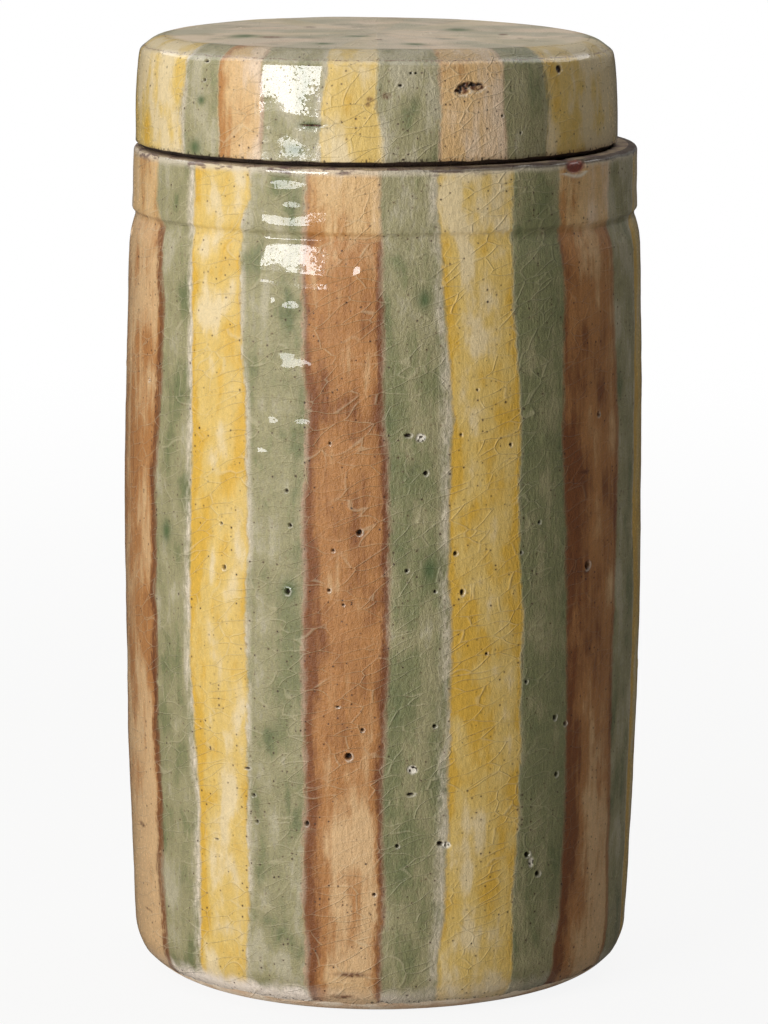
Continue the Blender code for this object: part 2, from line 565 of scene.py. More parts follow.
@dataclass(frozen=True)
class StripedGlaze:
    """Glossy crackled glaze over upright brush strokes of brown, green and yellow."""

    brown: Wash = Wash(pigment(226, 186, 136), pigment(188, 130, 74), pigment(136, 80, 36))
    green: Wash = Wash(pigment(190, 181, 150), pigment(164, 156, 116), pigment(134, 134, 92))
    yellow: Wash = Wash(pigment(237, 214, 166), pigment(229, 195, 112), pigment(224, 178, 68))
    orange: Wash = Wash(pigment(240, 212, 180), pigment(228, 188, 132), pigment(188, 130, 68))
    red_edge: Colour = pigment(106, 58, 28)
    green_pool: Colour = pigment(92, 108, 66)
    # the pale ground between strokes, and also the painted highlight along the rim
    pale_ground_and_sheen: Colour = pigment(228, 214, 192)
    mauve: Colour = pigment(192, 160, 134)
    # iron: dark dots and pits, and also the painted shade on the rim's right half
    iron: Colour = pigment(46, 32, 22)
    # chalky white, and also painted highlights on lit lips and painted glints
    chalk_and_glint: Colour = pigment(240, 232, 216)
    # the glaze's pale thick lower edge, partly a painted highlight on the lit left side
    roll: Colour = pigment(250, 236, 222)
    crack: Colour = pigment(230, 216, 180)
    smear: Colour = pigment(104, 76, 72)
    brick: Colour = pigment(138, 68, 52)
    worn: Colour = pigment(222, 202, 178)
    worn_grey: Colour = pigment(186, 176, 150)
    # sooty smears on the worn top, and also the painted shade on the lid's shoulder
    soot_and_shade: Colour = pigment(112, 104, 82)
    crackle: Crackle = Crackle()
    stripe_width: float = 16.0  # millimetres
    brown_at: float = 0.5  # the stripe coordinate in the middle of the first brown stroke
    yellow_at: float = 2.5
    soft: float = 0.045  # how far two paints run into each other, in stripes
    stray: float = 0.14  # how far a stroke's edge strays, in stripes
    fray: float = 0.09  # how far it frays, in stripes
    fallen: float = 0.32  # how much thinner the paint is a reach away from where it lies thickest
    low_down: Span = (95.0, 30.0)  # the heights where the brown thins out in the middle of a stroke
    low_middle: float = 0.62  # where in the stroke that is
    washing: Span = (-2.5, 1.5)  # where the wash comes in, from the band's own height for it
    draining: Span = (-40.0, 40.0)  # from left to right
    draining_middle: float = 0.33  # the share of that where the paint neither gains nor loses
    roll_edge: Span = (5.4, 1.6)  # the glaze's thick lower edge, millimetres above its end
    crack_shown: float = 0.23  # how pale the cracks are
    crack_reach: Span = (50.0, 30.0)  # they grow faint towards the right side
    dot_cell: float = 1.1  # millimetres from one burst bubble to the next
    # the dots that are not dark are painted glints
    dark_from: float = 0.30  # cells with a random value above this hold dark dots, the others pale ones
    # the span where the painted shade on the shoulder comes in
    shoulder_shade: Span = (-6.0, -4.6)  # the dark rim round the worn top, from the band's own distance down
    worn_dull: Span = (-6.0, -3.5)  # where it loses its gloss, counted in the same way
    worn_reach: float = 3.0  # in which the worn colours come in, further on
    roughness: float = 0.5
    relief_depth: float = 0.0001
    haze: float = 0.36  # how much less the hazy patches mirror
    edges_cloud: Cloud = Cloud(9.0, 13.0, 2.0, 18.0)
    worn_cloud: Cloud = Cloud(19.0, 19.0, 6.0, 19.0)
    soot_cloud: Cloud = Cloud(11.0, 11.0, 7.0, 29.0)
    peel_cloud: Cloud = Cloud(1.7, 1.7, 3.0, 25.0)
    matt_cloud: Cloud = Cloud(0.7, 0.7, 3.0, 28.0)
    ragged_cloud: Cloud = Cloud(6.0, 6.0, 4.0, 26.0)
    smear_cloud: Cloud = Cloud(4.0, 1.1, 4.0, 27.0)

    def spot(self, board: Board, place: Signal) -> Spot:
        """Gathers what the looks are drawn from.

        Args:
            board: to draw on.
            place: the point in millimetres.

        Returns:
            The point with its coordinates and fields.
        """
        across, down, _ = board.split(board.add("ShaderNodeUVMap", {"uv_map": PAINTING}, {}))
        sideways, _, up = board.split(place)
        fields = {name: board.cloud(place, cloud) for name, cloud in SHARED_FIELDS.items()}
        return Spot(place, across, down, sideways, up, **fields)

    def of_paint(self, across: Signal, middle: float) -> Signal:
        """1 in one paint's strokes, which come once in a turn, and 0 in the others.

        Args:
            across: the stripe coordinate.
            middle: that of the middle of the paint's first stroke.

        Returns:
            The share of the paint.
        """
        half = STROKES_IN_TURN / 2
        away = abs((across + (half - middle)) % STROKES_IN_TURN - half)
        return away.fade(MIDDLE + self.soft, MIDDLE - self.soft)

    def stroke(self, board: Board, spot: Spot, band: GlazeBand) -> Stroke:
        """Finds the stroke that a point lies in.

        Args:
            board: to draw on.
            spot: the point.
            band: how the piece wears its glaze.

        Returns:
            The stroke.
        """
        strayed = (board.cloud(spot.place, self.edges_cloud) - MIDDLE) * self.stray
        across = spot.across + strayed + (spot.grit - MIDDLE) * self.fray
        number, boundary = across.floor(), (across + MIDDLE).floor()
        strength, lean, hollow = board.split(board.table(number % float(len(band.strokes)), band.strokes))
        seam = board.split(board.table(boundary % float(len(band.seams)), band.seams))
        return Stroke(number, boundary, across - number, abs(across - boundary) * self.stripe_width,
                      strength, lean - MIDDLE, hollow, *seam,
                      is_brown=self.of_paint(across, self.brown_at),
                      is_yellow=self.of_paint(across, self.yellow_at))

    def paints(self, board: Board, spot: Spot, stroke: Stroke, band: GlazeBand) -> Signal:
        """The four paints, each as thick as its brush laid it on.

        Args:
            board: to draw on.
            spot: the point.
            stroke: the stroke that it lies in.
            band: how the piece wears its glaze.

        Returns:
            The colour.
        """
        inside, from_low_middle = stroke.inside, stroke.inside - self.low_middle
        leaning = stroke.lean * (inside - MIDDLE)
        height = (spot.up - band.full_height) / band.full_reach
        away = height * height
        hairs, patches, specks = spot.streak - MIDDLE, spot.patch - MIDDLE, spot.grit - MIDDLE
        usual = (stroke.strength + leaning * 1.2 - away * self.fallen + hairs * 0.6
                 + (band.strength - MIDDLE))
        mottled = (spot.blot - MIDDLE) * 2.0 + patches
        sides = (inside - MIDDLE) * (inside - MIDDLE) * 4.0
        heaped = (sides * sides * sides - 0.14) * stroke.hollow
        thinned = spot.up.fade(*self.low_down) * (0.40 - from_low_middle * from_low_middle * 4.0) * 0.7
        washed = spot.up.fade(*(band.washed_above + edge for edge in self.washing))
        drift = washed * (self.draining_middle - spot.sideways.fade(*self.draining)) * band.drained

        earthy = usual + mottled * 0.7 + heaped - thinned + drift * 0.6
        golden = (usual + away * 0.1 + mottled + heaped + patches * 0.8 - hairs * 0.4
                  + inside.fade(0.35, 0.02) * 0.2 + drift)
        leafy = usual + away * 0.2 + mottled * 0.75 + patches + drift * 0.3 + specks * 0.6

        frayed = stroke.from_edge.fade(1.7, 0.8) * stroke.dark * (spot.grit.fade(0.3, 0.5) * 0.4 + 0.6)
        lined = (stroke.from_edge.fade(0.8, 0.2) * spot.wander.fade(0.42, 0.62) * 0.35).most(frayed)
        brown = board.blend(lined * 0.75, self.brown.colour(board, earthy + lined * 0.3), self.red_edge)
        orange = self.orange.colour(board, earthy - heaped * 0.8 + away * self.fallen + leaning)
        green = self.green.colour(board, leafy)
        green = board.blend(spot.patch.fade(0.55, 0.75) * 0.45, green, self.green_pool)
        colour = board.blend(stroke.is_brown, green, board.blend(washed, brown, orange))
        return board.blend(stroke.is_yellow, colour, self.yellow.colour(board, golden))

    def seamed(self, board: Board, spot: Spot, stroke: Stroke, colour: Signal) -> Signal:
        """Lets the ground show along the edges of the strokes.

        Args:
            board: to draw on.
            spot: the point.
            stroke: the stroke that it lies in.
            colour: the paint's colour.

        Returns:
            The colour with the seams.
        """
        beside_yellow = (stroke.boundary % STROKES_IN_TURN) > 1.5
        outward = stroke.from_edge * ((stroke.number % 2.0) * 2.0 - 1.0)
        past = (outward - stroke.width * 0.6) / (stroke.width * 4.0 + 0.6)
        strip = outward.fade(-0.7, 0.5) * past.fade(1.0, 0.0)
        veil = stroke.from_edge.fade(1.1, 0.1)
        patchy = spot.wander.fade(0.36, 0.60) * 0.8 + spot.grit.fade(0.35, 0.65) * 0.4
        shown = (veil + (strip - veil) * beside_yellow) * stroke.pale * patchy
        return board.blend(shown, colour, board.blend(beside_yellow, self.mauve, self.pale_ground_and_sheen))

    def painted(self, board: Board, spot: Spot, band: GlazeBand) -> tuple[Signal, Signal]:
        """The strokes side by side, with the bare ground that shows between them.

        Args:
            board: to draw on.
            spot: the point.
            band: how the piece wears its glaze.

        Returns:
            The colour, and where the paint is yellow.
        """
        stroke = self.stroke(board, spot, band)
        colour = self.seamed(board, spot, stroke, self.paints(board, spot, stroke, band))
        strayed = spot.up + (spot.wander - MIDDLE) * 5.0
        rolled = strayed.fade(*(band.low + height for height in self.roll_edge)) * band.rolled
        # The glaze's pale thick lower edge, made stronger on the lit left side as a painted highlight.
        lit_side_sheen = spot.sideways.fade(18.0, -12.0) * 0.7 + 0.3
        colour = board.blend(rolled * (1.0 - stroke.is_brown * 0.8) * lit_side_sheen, colour, self.roll)

        fine = (spot.grain - MIDDLE) * 0.75 + (spot.grit - MIDDLE) * 0.65
        smooth = stroke.is_yellow.most(stroke.is_brown * 0.8) * 0.5
        shade = (spot.streak - MIDDLE) * 0.16 + fine * (1.0 - smooth) + 1.0
        shades = board.add("ShaderNodeCombineXYZ", {}, {0: shade, 1: shade, 2: shade})
        return board.blend(1.0, colour, shades, "MULTIPLY"), stroke.is_yellow

    def worn_down(self, board: Board, spot: Spot, colour: Signal, band: GlazeBand) -> Signal:
        """Rubs and smudges the top, and paints shade on the shoulder round it.

        Args:
            board: to draw on.
            spot: the point.
            colour: the glaze's colour.
            band: where the wear is.

        Returns:
            The worn colour.
        """
        smudged, sooty = (board.cloud(spot.place, cloud) for cloud in (self.worn_cloud, self.soot_cloud))
        rubbed = board.blend(smudged.fade(0.36, 0.62), self.worn, self.worn_grey)
        rubbed = board.blend(sooty.fade(0.50, 0.78) * 0.6, rubbed, self.soot_and_shade)
        # Painted shade: the shoulder round the worn top is darkened with the soot colour.
        rim = spot.down.fade(*(band.worn_from + edge for edge in self.shoulder_shade))
        colour = board.blend(rim * 0.42, colour, self.soot_and_shade)
        within = spot.down.fade(band.worn_from, band.worn_from + self.worn_reach)
        return board.blend(within * 0.80, colour, rubbed)

    def material(self, name: str, band: GlazeBand) -> bpy.types.Material:
        """The glaze of one piece, down to the bare clay at its edges.

        Args:
            name: the material's name.
            band: how the piece wears it.

        Returns:
            The material.
        """
        made, board = new_material(name)
        ground = Ground(board)
        spot = self.spot(board, ground.place)
        colour, is_yellow = self.painted(board, spot, band)

        crack, ridge = self.crackle.lines(board, spot.place)
        strong = spot.blot.fade(0.38, 0.56) * 0.75 + 0.25
        shown = strong * (spot.sideways.fade(*self.crack_reach) * 0.7 + 0.3)
        colour = board.blend(crack * shown * self.crack_shown, colour, self.crack)
        colour = self.specked(board, spot, colour)
        colour = self.worn_down(board, spot, colour, band)

        traces = {trace: board.add("ShaderNodeAttribute", {"attribute_name": trace.value}, {}, "Fac")
                  for trace in Trace}
        colour = board.blend(traces[Trace.POOL], colour, self.green_pool)
        rusty = traces[Trace.RUST] * (spot.grit.fade(0.35, 0.60) * 0.5 + 0.5)
        colour = board.blend(rusty, colour, self.red_edge)
        for at in band.lines:
            worn = abs(spot.down - at + (spot.wander - MIDDLE) * 1.2).fade(0.28, 0.05)
            colour = board.blend(worn * spot.grit.fade(0.40, 0.62) * 0.8, colour, self.red_edge)
        colour, bare = self.edges(board, spot, colour, band)
        for trace, stain in ((Trace.BRICK, self.brick), (Trace.CHALK_AND_GLINT, self.chalk_and_glint), (Trace.PIT, self.iron)):
            colour = board.blend(traces[trace], colour, stain)

        peel, speckle = (board.cloud(spot.place, cloud) for cloud in (self.peel_cloud, self.matt_cloud))
        coarse = spot.grain * 1.7 + spot.grit * 2.9
        height = peel * 0.7 + coarse * (1.0 - is_yellow * 0.45) + ridge * strong * 1.15
        matt = traces[Trace.MATT] * 1.1 + (speckle - MIDDLE) * 4.1 + (spot.patch - MIDDLE)
        rubbed = spot.down.fade(*(band.worn_from + edge for edge in self.worn_dull))
        dull = matt.fade(0.50, 0.58) * 0.9
        for other in (bare, traces[Trace.PIT], traces[Trace.CHALK_AND_GLINT], rubbed):
            dull = dull.most(other)
        ground.close(colour, bare * 0.3 + self.roughness, ground.relief(height, self.relief_depth),
                     (1.0 - dull) * (1.0 - traces[Trace.HAZE] * self.haze) * band.gloss)
        return made

    def specked(self, board: Board, spot: Spot, colour: Signal) -> Signal:
        """Adds burst bubbles as tiny dark dots, a few in a faint ring, and painted glints as a few pale ones.

        Args:
            board: to draw on.
            spot: the point.
            colour: the glaze's colour.

        Returns:
            The colour with the dots.
        """
        distance, draw = board.cells(spot.place, self.dot_cell)
        from_rim = distance - (draw * draw * draw * 0.22 + (spot.wander - MIDDLE) * 0.28)
        colour = board.blend(from_rim.fade(0.32, 0.0) * draw.fade(0.7, 0.95) * 0.30, colour, self.red_edge)
        # the pale dots are painted glints
        dot = board.blend(draw > self.dark_from, self.chalk_and_glint, self.iron)
        return board.blend(from_rim.fade(0.04, -0.06) * (draw * 0.6 + 0.3), colour, dot)

    def edges(self, board: Board, spot: Spot, colour: Signal, band: GlazeBand) -> tuple[Signal, Signal]:
        """Thins the glaze to bare clay past the band's two ends; paints a highlight and shade on the rim.

        Args:
            board: to draw on.
            spot: the point.
            colour: the glazed colour.
            band: where the glaze ends.

        Returns:
            The colour with the clay, and how bare the surface is.
        """
        ragged, smeared = (board.cloud(spot.place, cloud) for cloud in (self.ragged_cloud, self.smear_cloud))
        wander = (ragged - MIDDLE) * (4.0 * band.ragged)
        above_low, below_high = spot.up - band.low + wander, band.high - spot.up + wander * 0.3
        smears = smeared.fade(0.50, 0.62) * spot.patch.fade(0.40, 0.56)
        # The pale band along the rim's top edge: the glaze thinning over the rounding, and partly a painted
        # highlight.
        colour = board.blend(below_high.fade(2.0, 0.4) * 0.65, colour, self.pale_ground_and_sheen)
        colour = board.blend(below_high.fade(2.2, 0.6) * smears * 0.8, colour, self.smear)
        dotted_high = spot.grit.fade(0.52, 0.60) * below_high.fade(0.6, 0.1) * spot.wander.fade(0.46, 0.56)
        dotted = (spot.grit.fade(0.55, 0.62) * above_low.fade(1.0, 0.3)).most(dotted_high)
        colour = board.blend(dotted * 0.8, colour, self.iron)
        low_bare, high_bare = above_low.fade(0.2, -0.1), below_high.fade(0.15, -0.1)
        grains = band.low_clay.grains(board, spot.place)
        for clay, bare in ((band.low_clay, low_bare), (band.high_clay, high_bare)):
            colour = board.blend(bare, colour, clay.colour(board, grains))
        # Painted shade: the rim's outer edge turns dark towards the right, where the lid's shadow falls on
        # it.
        painted_shade_side = spot.sideways.fade(-4.0, 26.0)
        colour = board.blend(painted_shade_side * below_high.fade(0.9, 0.3) * 0.75, colour, self.iron)
        return colour, low_bare.most(high_bare)


@dataclass(frozen=True)
class LiningGlaze:
    """The plain cream glaze inside."""

    wash: Wash = Wash(pigment(196, 166, 124), pigment(222, 202, 164), pigment(232, 218, 188))
    crack: Colour = pigment(160, 130, 96)
    iron: Colour = pigment(70, 50, 34)
    crackle: Crackle = Crackle()
    roughness: float = 0.5
    relief_depth: float = 0.00006
    coat: float = 0.8
    coat_roughness: float = 0.15
    dot_cell: float = 2.0  # millimetres from one dark dot to the next
    flow: Cloud = Cloud(14.0, 5.0, 4.0, 41.0)
    peel: Cloud = Cloud(3.0, 2.0, 2.0, 42.0)

    def material(self, name: str) -> bpy.types.Material:
        """The lining as a material.

        Args:
            name: the material's name.

        Returns:
            The material.
        """
        made, board = new_material(name)
        ground = Ground(board)
        place = ground.place
        density = board.cloud(place, self.flow) * 2.2 - 0.5
        crack, ridge = self.crackle.lines(board, place)
        stained = crack * density.fade(0.1, 0.5) * 0.45
        colour = board.blend(stained, self.wash.colour(board, density), self.crack)
        distance, draw = board.cells(place, self.dot_cell)
        colour = board.blend((distance - draw * 0.3).fade(0.0, -0.1), colour, self.iron)
        normal = ground.relief(board.cloud(place, self.peel) * 0.5 + ridge * 0.3, self.relief_depth)
        ground.close(colour, self.roughness, normal, self.coat, self.coat_roughness)
        return made


@dataclass(frozen=True)
class PhotoView:
    """The camera of the photograph, found from the jar's outline and the ellipses on it."""

    side: float = 0.001
    distance: float = 1.2
    height: float = 0.322
    pitch: float = math.radians(9.87)
    focal: float = 4907.0  # pixels
    wide: int = 768
    tall: int = 1024
    sensor: float = 36.0  # millimetres, down the picture
    nearest: float = 0.08  # metres before the axis, where the search for a wall starts
    halvings: int = 40

    def ray(self, pixel: Point) -> tuple[Vector, Vector]:
        """The line of sight through a pixel.

        Args:
            pixel: across and down, in the photograph's 768 by 1024 pixels.

        Returns:
            The camera's place, and the way that it looks there.
        """
        across, up = (pixel[0] - self.wide / 2) / self.focal, (self.tall / 2 - pixel[1]) / self.focal
        ahead = Vector((0, math.cos(self.pitch), -math.sin(self.pitch)))
        above = Vector((0, math.sin(self.pitch), math.cos(self.pitch)))
        return Vector((self.side, -self.distance, self.height)), ahead + Vector((across, 0, 0)) + above * up

    def strike(self, pixel: Point, beyond: float, unmoved: Callable[[Vector], Vector],
               outside: Callable[[Vector], bool]) -> Vector:
        """Finds where the line of sight through a pixel meets a wall, by halving.

        Args:
            pixel: across and down.
            beyond: metres past the axis, where the search ends.
            unmoved: takes a point back to where it was before the piece was moved.
            outside: says if such a point is still before the wall.

        Returns:
            The place on the unmoved wall.
        """
        eye, way = self.ray(pixel)
        near, far = self.distance - self.nearest, self.distance + beyond
        for _ in range(self.halvings):
            middle = (near + far) / 2
            at = unmoved(eye + way * middle)
            near, far = (middle, far) if outside(at) else (near, middle)
        return at

    def make_camera(self) -> None:
        """Puts the camera in the scene."""
        lens = bpy.data.cameras.new("photo_view")
        lens.sensor_fit = "VERTICAL"
        lens.sensor_height = self.sensor
        lens.lens = self.focal / self.tall * self.sensor
        camera = bpy.data.objects.new("photo_view", lens)
        camera.location = (self.side, -self.distance, self.height)
        camera.rotation_euler = (math.pi / 2 - self.pitch, 0, 0)
        bpy.context.scene.collection.objects.link(camera)
        bpy.context.scene.camera = camera


PHOTO = PhotoView()


class MarkKind(Enum):
    """The faults in the clay and the glaze."""

    PINHOLE = "a burst bubble, dark inside"
    SORE = "an open blister with a chalky bottom"
    NUB = "a grain under the glaze"
    GOUGE = "a score with a dark bottom"
    CHIP = "a flake that came off down to the clay"
    POOL = "a patch of thicker, darker green"
    RUST = "a brown iron stain"
    MATT = "a patch where the glaze came out dull"
    HAZE = "a patch where the clear glaze mirrors weakly"


@dataclass(frozen=True)
class Mark:
    """One fault: its kind, and its width and height along the surface in millimetres."""

    kind: MarkKind
    width: float
    height: float
    depth: float = 0.0  # millimetres, how far it goes in, or stands out if it is below zero


@dataclass(frozen=True)
class Seated:
    """A mark with its place on the turned surface and the ways along it."""

    mark: Mark
    centre: np.ndarray
    sideways: np.ndarray
    lengthwise: np.ndarray


def pinhole(width: float, height: float, share: float = 0.9) -> Mark:
    """A burst bubble, as deep as a share of its narrower side."""
    return Mark(MarkKind.PINHOLE, width, height, share * min(width, height))


@dataclass(frozen=True)
class Marks:
    """Marks of one kind, where the photograph shows them."""

    kind: MarkKind
    places: Sequence[tuple[float, ...]]  # pixels across and down, and width and height in millimetres
    depth: float = 0.0  # millimetres, but a pinhole's comes from its size

    def seated(self, seat: Callable[[Mark, Point], Seated]) -> list[Seated]:
        """Seats them on a piece.

        Args:
            seat: finds the place for a mark at a pixel.

        Returns:
            The marks with their places.
        """
        made = []
        for across, down, width, height in self.places:
            bubble = self.kind is MarkKind.PINHOLE
            mark = pinhole(width, height) if bubble else Mark(self.kind, width, height, self.depth)
            made.append(seat(mark, (across, down)))
        return made


@dataclass(frozen=True)
class Sheet:
    """The part of the baked pictures that a stretch of surface fills, as shares of their side."""

    left: float
    bottom: float
    width: float
    height: float
    strips: int = 1  # a stretch that goes round is cut into this many, one above the other
    margin: float = 0.004

    def wrapped(self, turn: float, along: float, strip: int) -> Point:
        """Where a point of a wall lies.

        Args:
            turn: how far round, from 0 to 1.
            along: how far along the stretch, from 0 to 1.
            strip: which strip its face is on.

        Returns:
            The point in the picture.
        """
        tall = self.height / self.strips
        return (self.left + self.margin + (turn * self.strips - strip) * (self.width - 2 * self.margin),
                self.bottom + tall * strip + self.margin + along * (tall - 2 * self.margin))

    def flat(self, x: float, y: float, reach: float) -> Point:
        """Where a point of a disc lies, its middle in the middle of the sheet.

        Args:
            x: to the right of the axis.
            y: behind the axis.
            reach: the disc's radius.

        Returns:
            The point in the picture.
        """
        half = self.width / 2 - self.margin
        return self.left + self.width / 2 + x / reach * half, self.bottom + self.height / 2 + y / reach * half


@dataclass(frozen=True)
class Stretch:
    """A run of a turned outline with one finish. Its last point, as radius and height, starts the next."""

    points: Sequence[Point]
    finish: Finish
    sheet: Sheet
    disc: bool = False


def arc(centre: Point, radius: float, start: float, end: float, steps: int) -> list[Point]:
    """Points along an arc.

    Args:
        centre: its centre, as radius and height.
        radius: its own radius.
        start: its first angle in degrees, from outwards, towards up.
        end: its last angle.
        steps: how many pieces it is cut into.

    Returns:
        The points, both ends among them.
    """
    angles = [math.radians(start + (end - start) * step / steps) for step in range(steps + 1)]
    return [(centre[0] + radius * math.cos(angle), centre[1] + radius * math.sin(angle)) for angle in angles]


def straight(start: Point, end: Point, step: float) -> list[Point]:
    """Points along a line, no further apart than a step, both ends among them."""
    count = max(1, math.ceil(math.dist(start, end) / step))
    return [(start[0] + (end[0] - start[0]) * index / count, start[1] + (end[1] - start[1]) * index / count)
            for index in range(count + 1)]


def rounded(corners: Sequence[Point], radii: Sequence[float], step: float) -> list[Point]:
    """Joins corners by lines, with each inner corner rounded over.

    Args:
        corners: the corners, as radius and height.
        radii: how far back from each inner corner its rounding starts.
        step: the most that two points may be apart on a line.

    Returns:
        The points, from the first corner to the last.
    """
    points, start = [], corners[0]
    for before, corner, after, back in zip(corners, corners[1:], corners[2:], radii):
        first = tuple(c + (b - c) * back / math.dist(before, corner) for c, b in zip(corner, before))
        last = tuple(c + (a - c) * back / math.dist(after, corner) for c, a in zip(corner, after))
        points += straight(start, first, step)[:-1]
        for part in range(5):
            t = part / 5
            points.append(tuple((1 - t) ** 2 * f + 2 * t * (1 - t) * c + t * t * e
                                for f, c, e in zip(first, corner, last)))
        start = last
    return points + straight(start, corners[-1], step)


@dataclass(frozen=True)
class Wave:
    """Smooth random waves in the clay."""

    rise: float  # the most that they stand out, in millimetres
    width: float  # how long they are round the piece, in millimetres
    height: float  # how long they are up and down
    seed: float  # moves the pattern

    def at(self, point: Sequence[float]) -> float:
        """How far they stand out at a place given in millimetres."""
        moved = (point[0] / self.width + self.seed, point[1] / self.width - self.seed,
                 point[2] / self.height + 2 * self.seed)
        return self.rise * noise.noise(Vector(moved))


@dataclass(frozen=True)
class Painting:
    """Where the strokes of one piece meet, read off the photograph, and how each stroke looks."""

    rows: tuple[float, ...]  # pixels down the photograph
    edges: tuple[tuple[float, ...], ...]  # for each edge, how far across it is in each of the rows
    first: int  # the number of the first edge: 0 starts a brown stroke, 1 a green one, and so on
    start: float  # degrees from the front to the edge before the first, which is out of sight
    end: float  # degrees to the one after the last
    brushed: tuple[Colour, ...]  # strength, lean and hollow middle of each stroke seen, from the start on
    joined: tuple[Colour, ...]  # for each edge seen: how pale, how wide in millimetres, how dark beside brown
    strokes: int = 24
    jitter: float = 1.4  # degrees
    seed: int = 5

    def looks(self) -> list[Colour]:
        """How every stroke looks, by its number. The ones not seen get their looks by chance.

        Returns:
            The strength, lean and hollow of each.
        """
        draw = random.Random(self.seed + 1)
        made = [(draw.uniform(0.40, 0.65), draw.uniform(0.2, 0.8), draw.uniform(0.0, 0.7))
                for _ in range(self.strokes)]
        for index, look in enumerate(self.brushed):
            made[(self.first - 1 + index) % self.strokes] = look
        return made

    def seams(self) -> list[Colour]:
        """How every edge between strokes looks, by its number. Those not seen get their looks by chance.

        Returns:
            How pale, how wide and how dark beside brown each is.
        """
        draw = random.Random(self.seed + 2)
        made = []
        for edge in range(self.strokes):
            beside_yellow = edge % STROKES_IN_TURN > 1
            pale = draw.uniform(0.2, 0.8) if beside_yellow else draw.uniform(0.1, 0.4)
            made.append((pale, draw.uniform(0.1, 0.7), draw.choice((0.0, 0.2, 0.8))))
        for index, look in enumerate(self.joined):
            made[(self.first + index) % self.strokes] = look
        return made


class StrokeMap:
    """The stripe coordinate of a piece: it rises by 1 from each edge of a stroke to the next."""

    def __init__(self, painting: Painting, meet: Callable[[Point], Vector]) -> None:
        """Finds the seen edges on the piece and shares out the rest of the turn.

        Args:
            painting: the edges in the photograph.
            meet: finds the place on the piece that a pixel shows.
        """
        self.painting = painting
        self.seen = []
        for edge in painting.edges:
            places = sorted((at.z, math.degrees(math.atan2(at.x, -at.y)))
                            for at in map(meet, zip(edge, painting.rows)))
            self.seen.append(tuple(zip(*places)))
        self.kept: dict[float, list[float]] = {}

    def edges(self, height: float) -> list[float]:
        """The edges at a height, in degrees, from a full turn to the left of the start.

        Args:
            height: metres above the foot.

        Returns:
            The angles, in rising order.
        """
        level = round(height / MM, 1)
        if level not in self.kept:
            painting, draw = self.painting, random.Random(self.painting.seed)
            seen = [float(np.interp(level * MM, *edge)) for edge in self.seen]
            angles = [painting.start, *seen, painting.end]
            left = painting.strokes - len(angles) + 1
            turn = painting.start + 360 - painting.end
            angles += [painting.end + turn * index / left + draw.uniform(-painting.jitter, painting.jitter)
                       for index in range(1, left)]
            self.kept[level] = [angle - 360 for angle in angles] + angles + [angles[0] + 360]
        return self.kept[level]

    def at(self, azimuth: float, height: float) -> float:
        """The stripe coordinate of a place.

        Args:
            azimuth: radians from the front, towards the right.
            height: metres above the foot.

        Returns:
            The coordinate. It rises steadily from the back round to the back again.
        """
        edges = self.edges(height)
        lowest = self.painting.first - 1 - self.painting.strokes
        return float(np.interp(math.degrees(azimuth), edges, range(lowest, lowest + len(edges))))


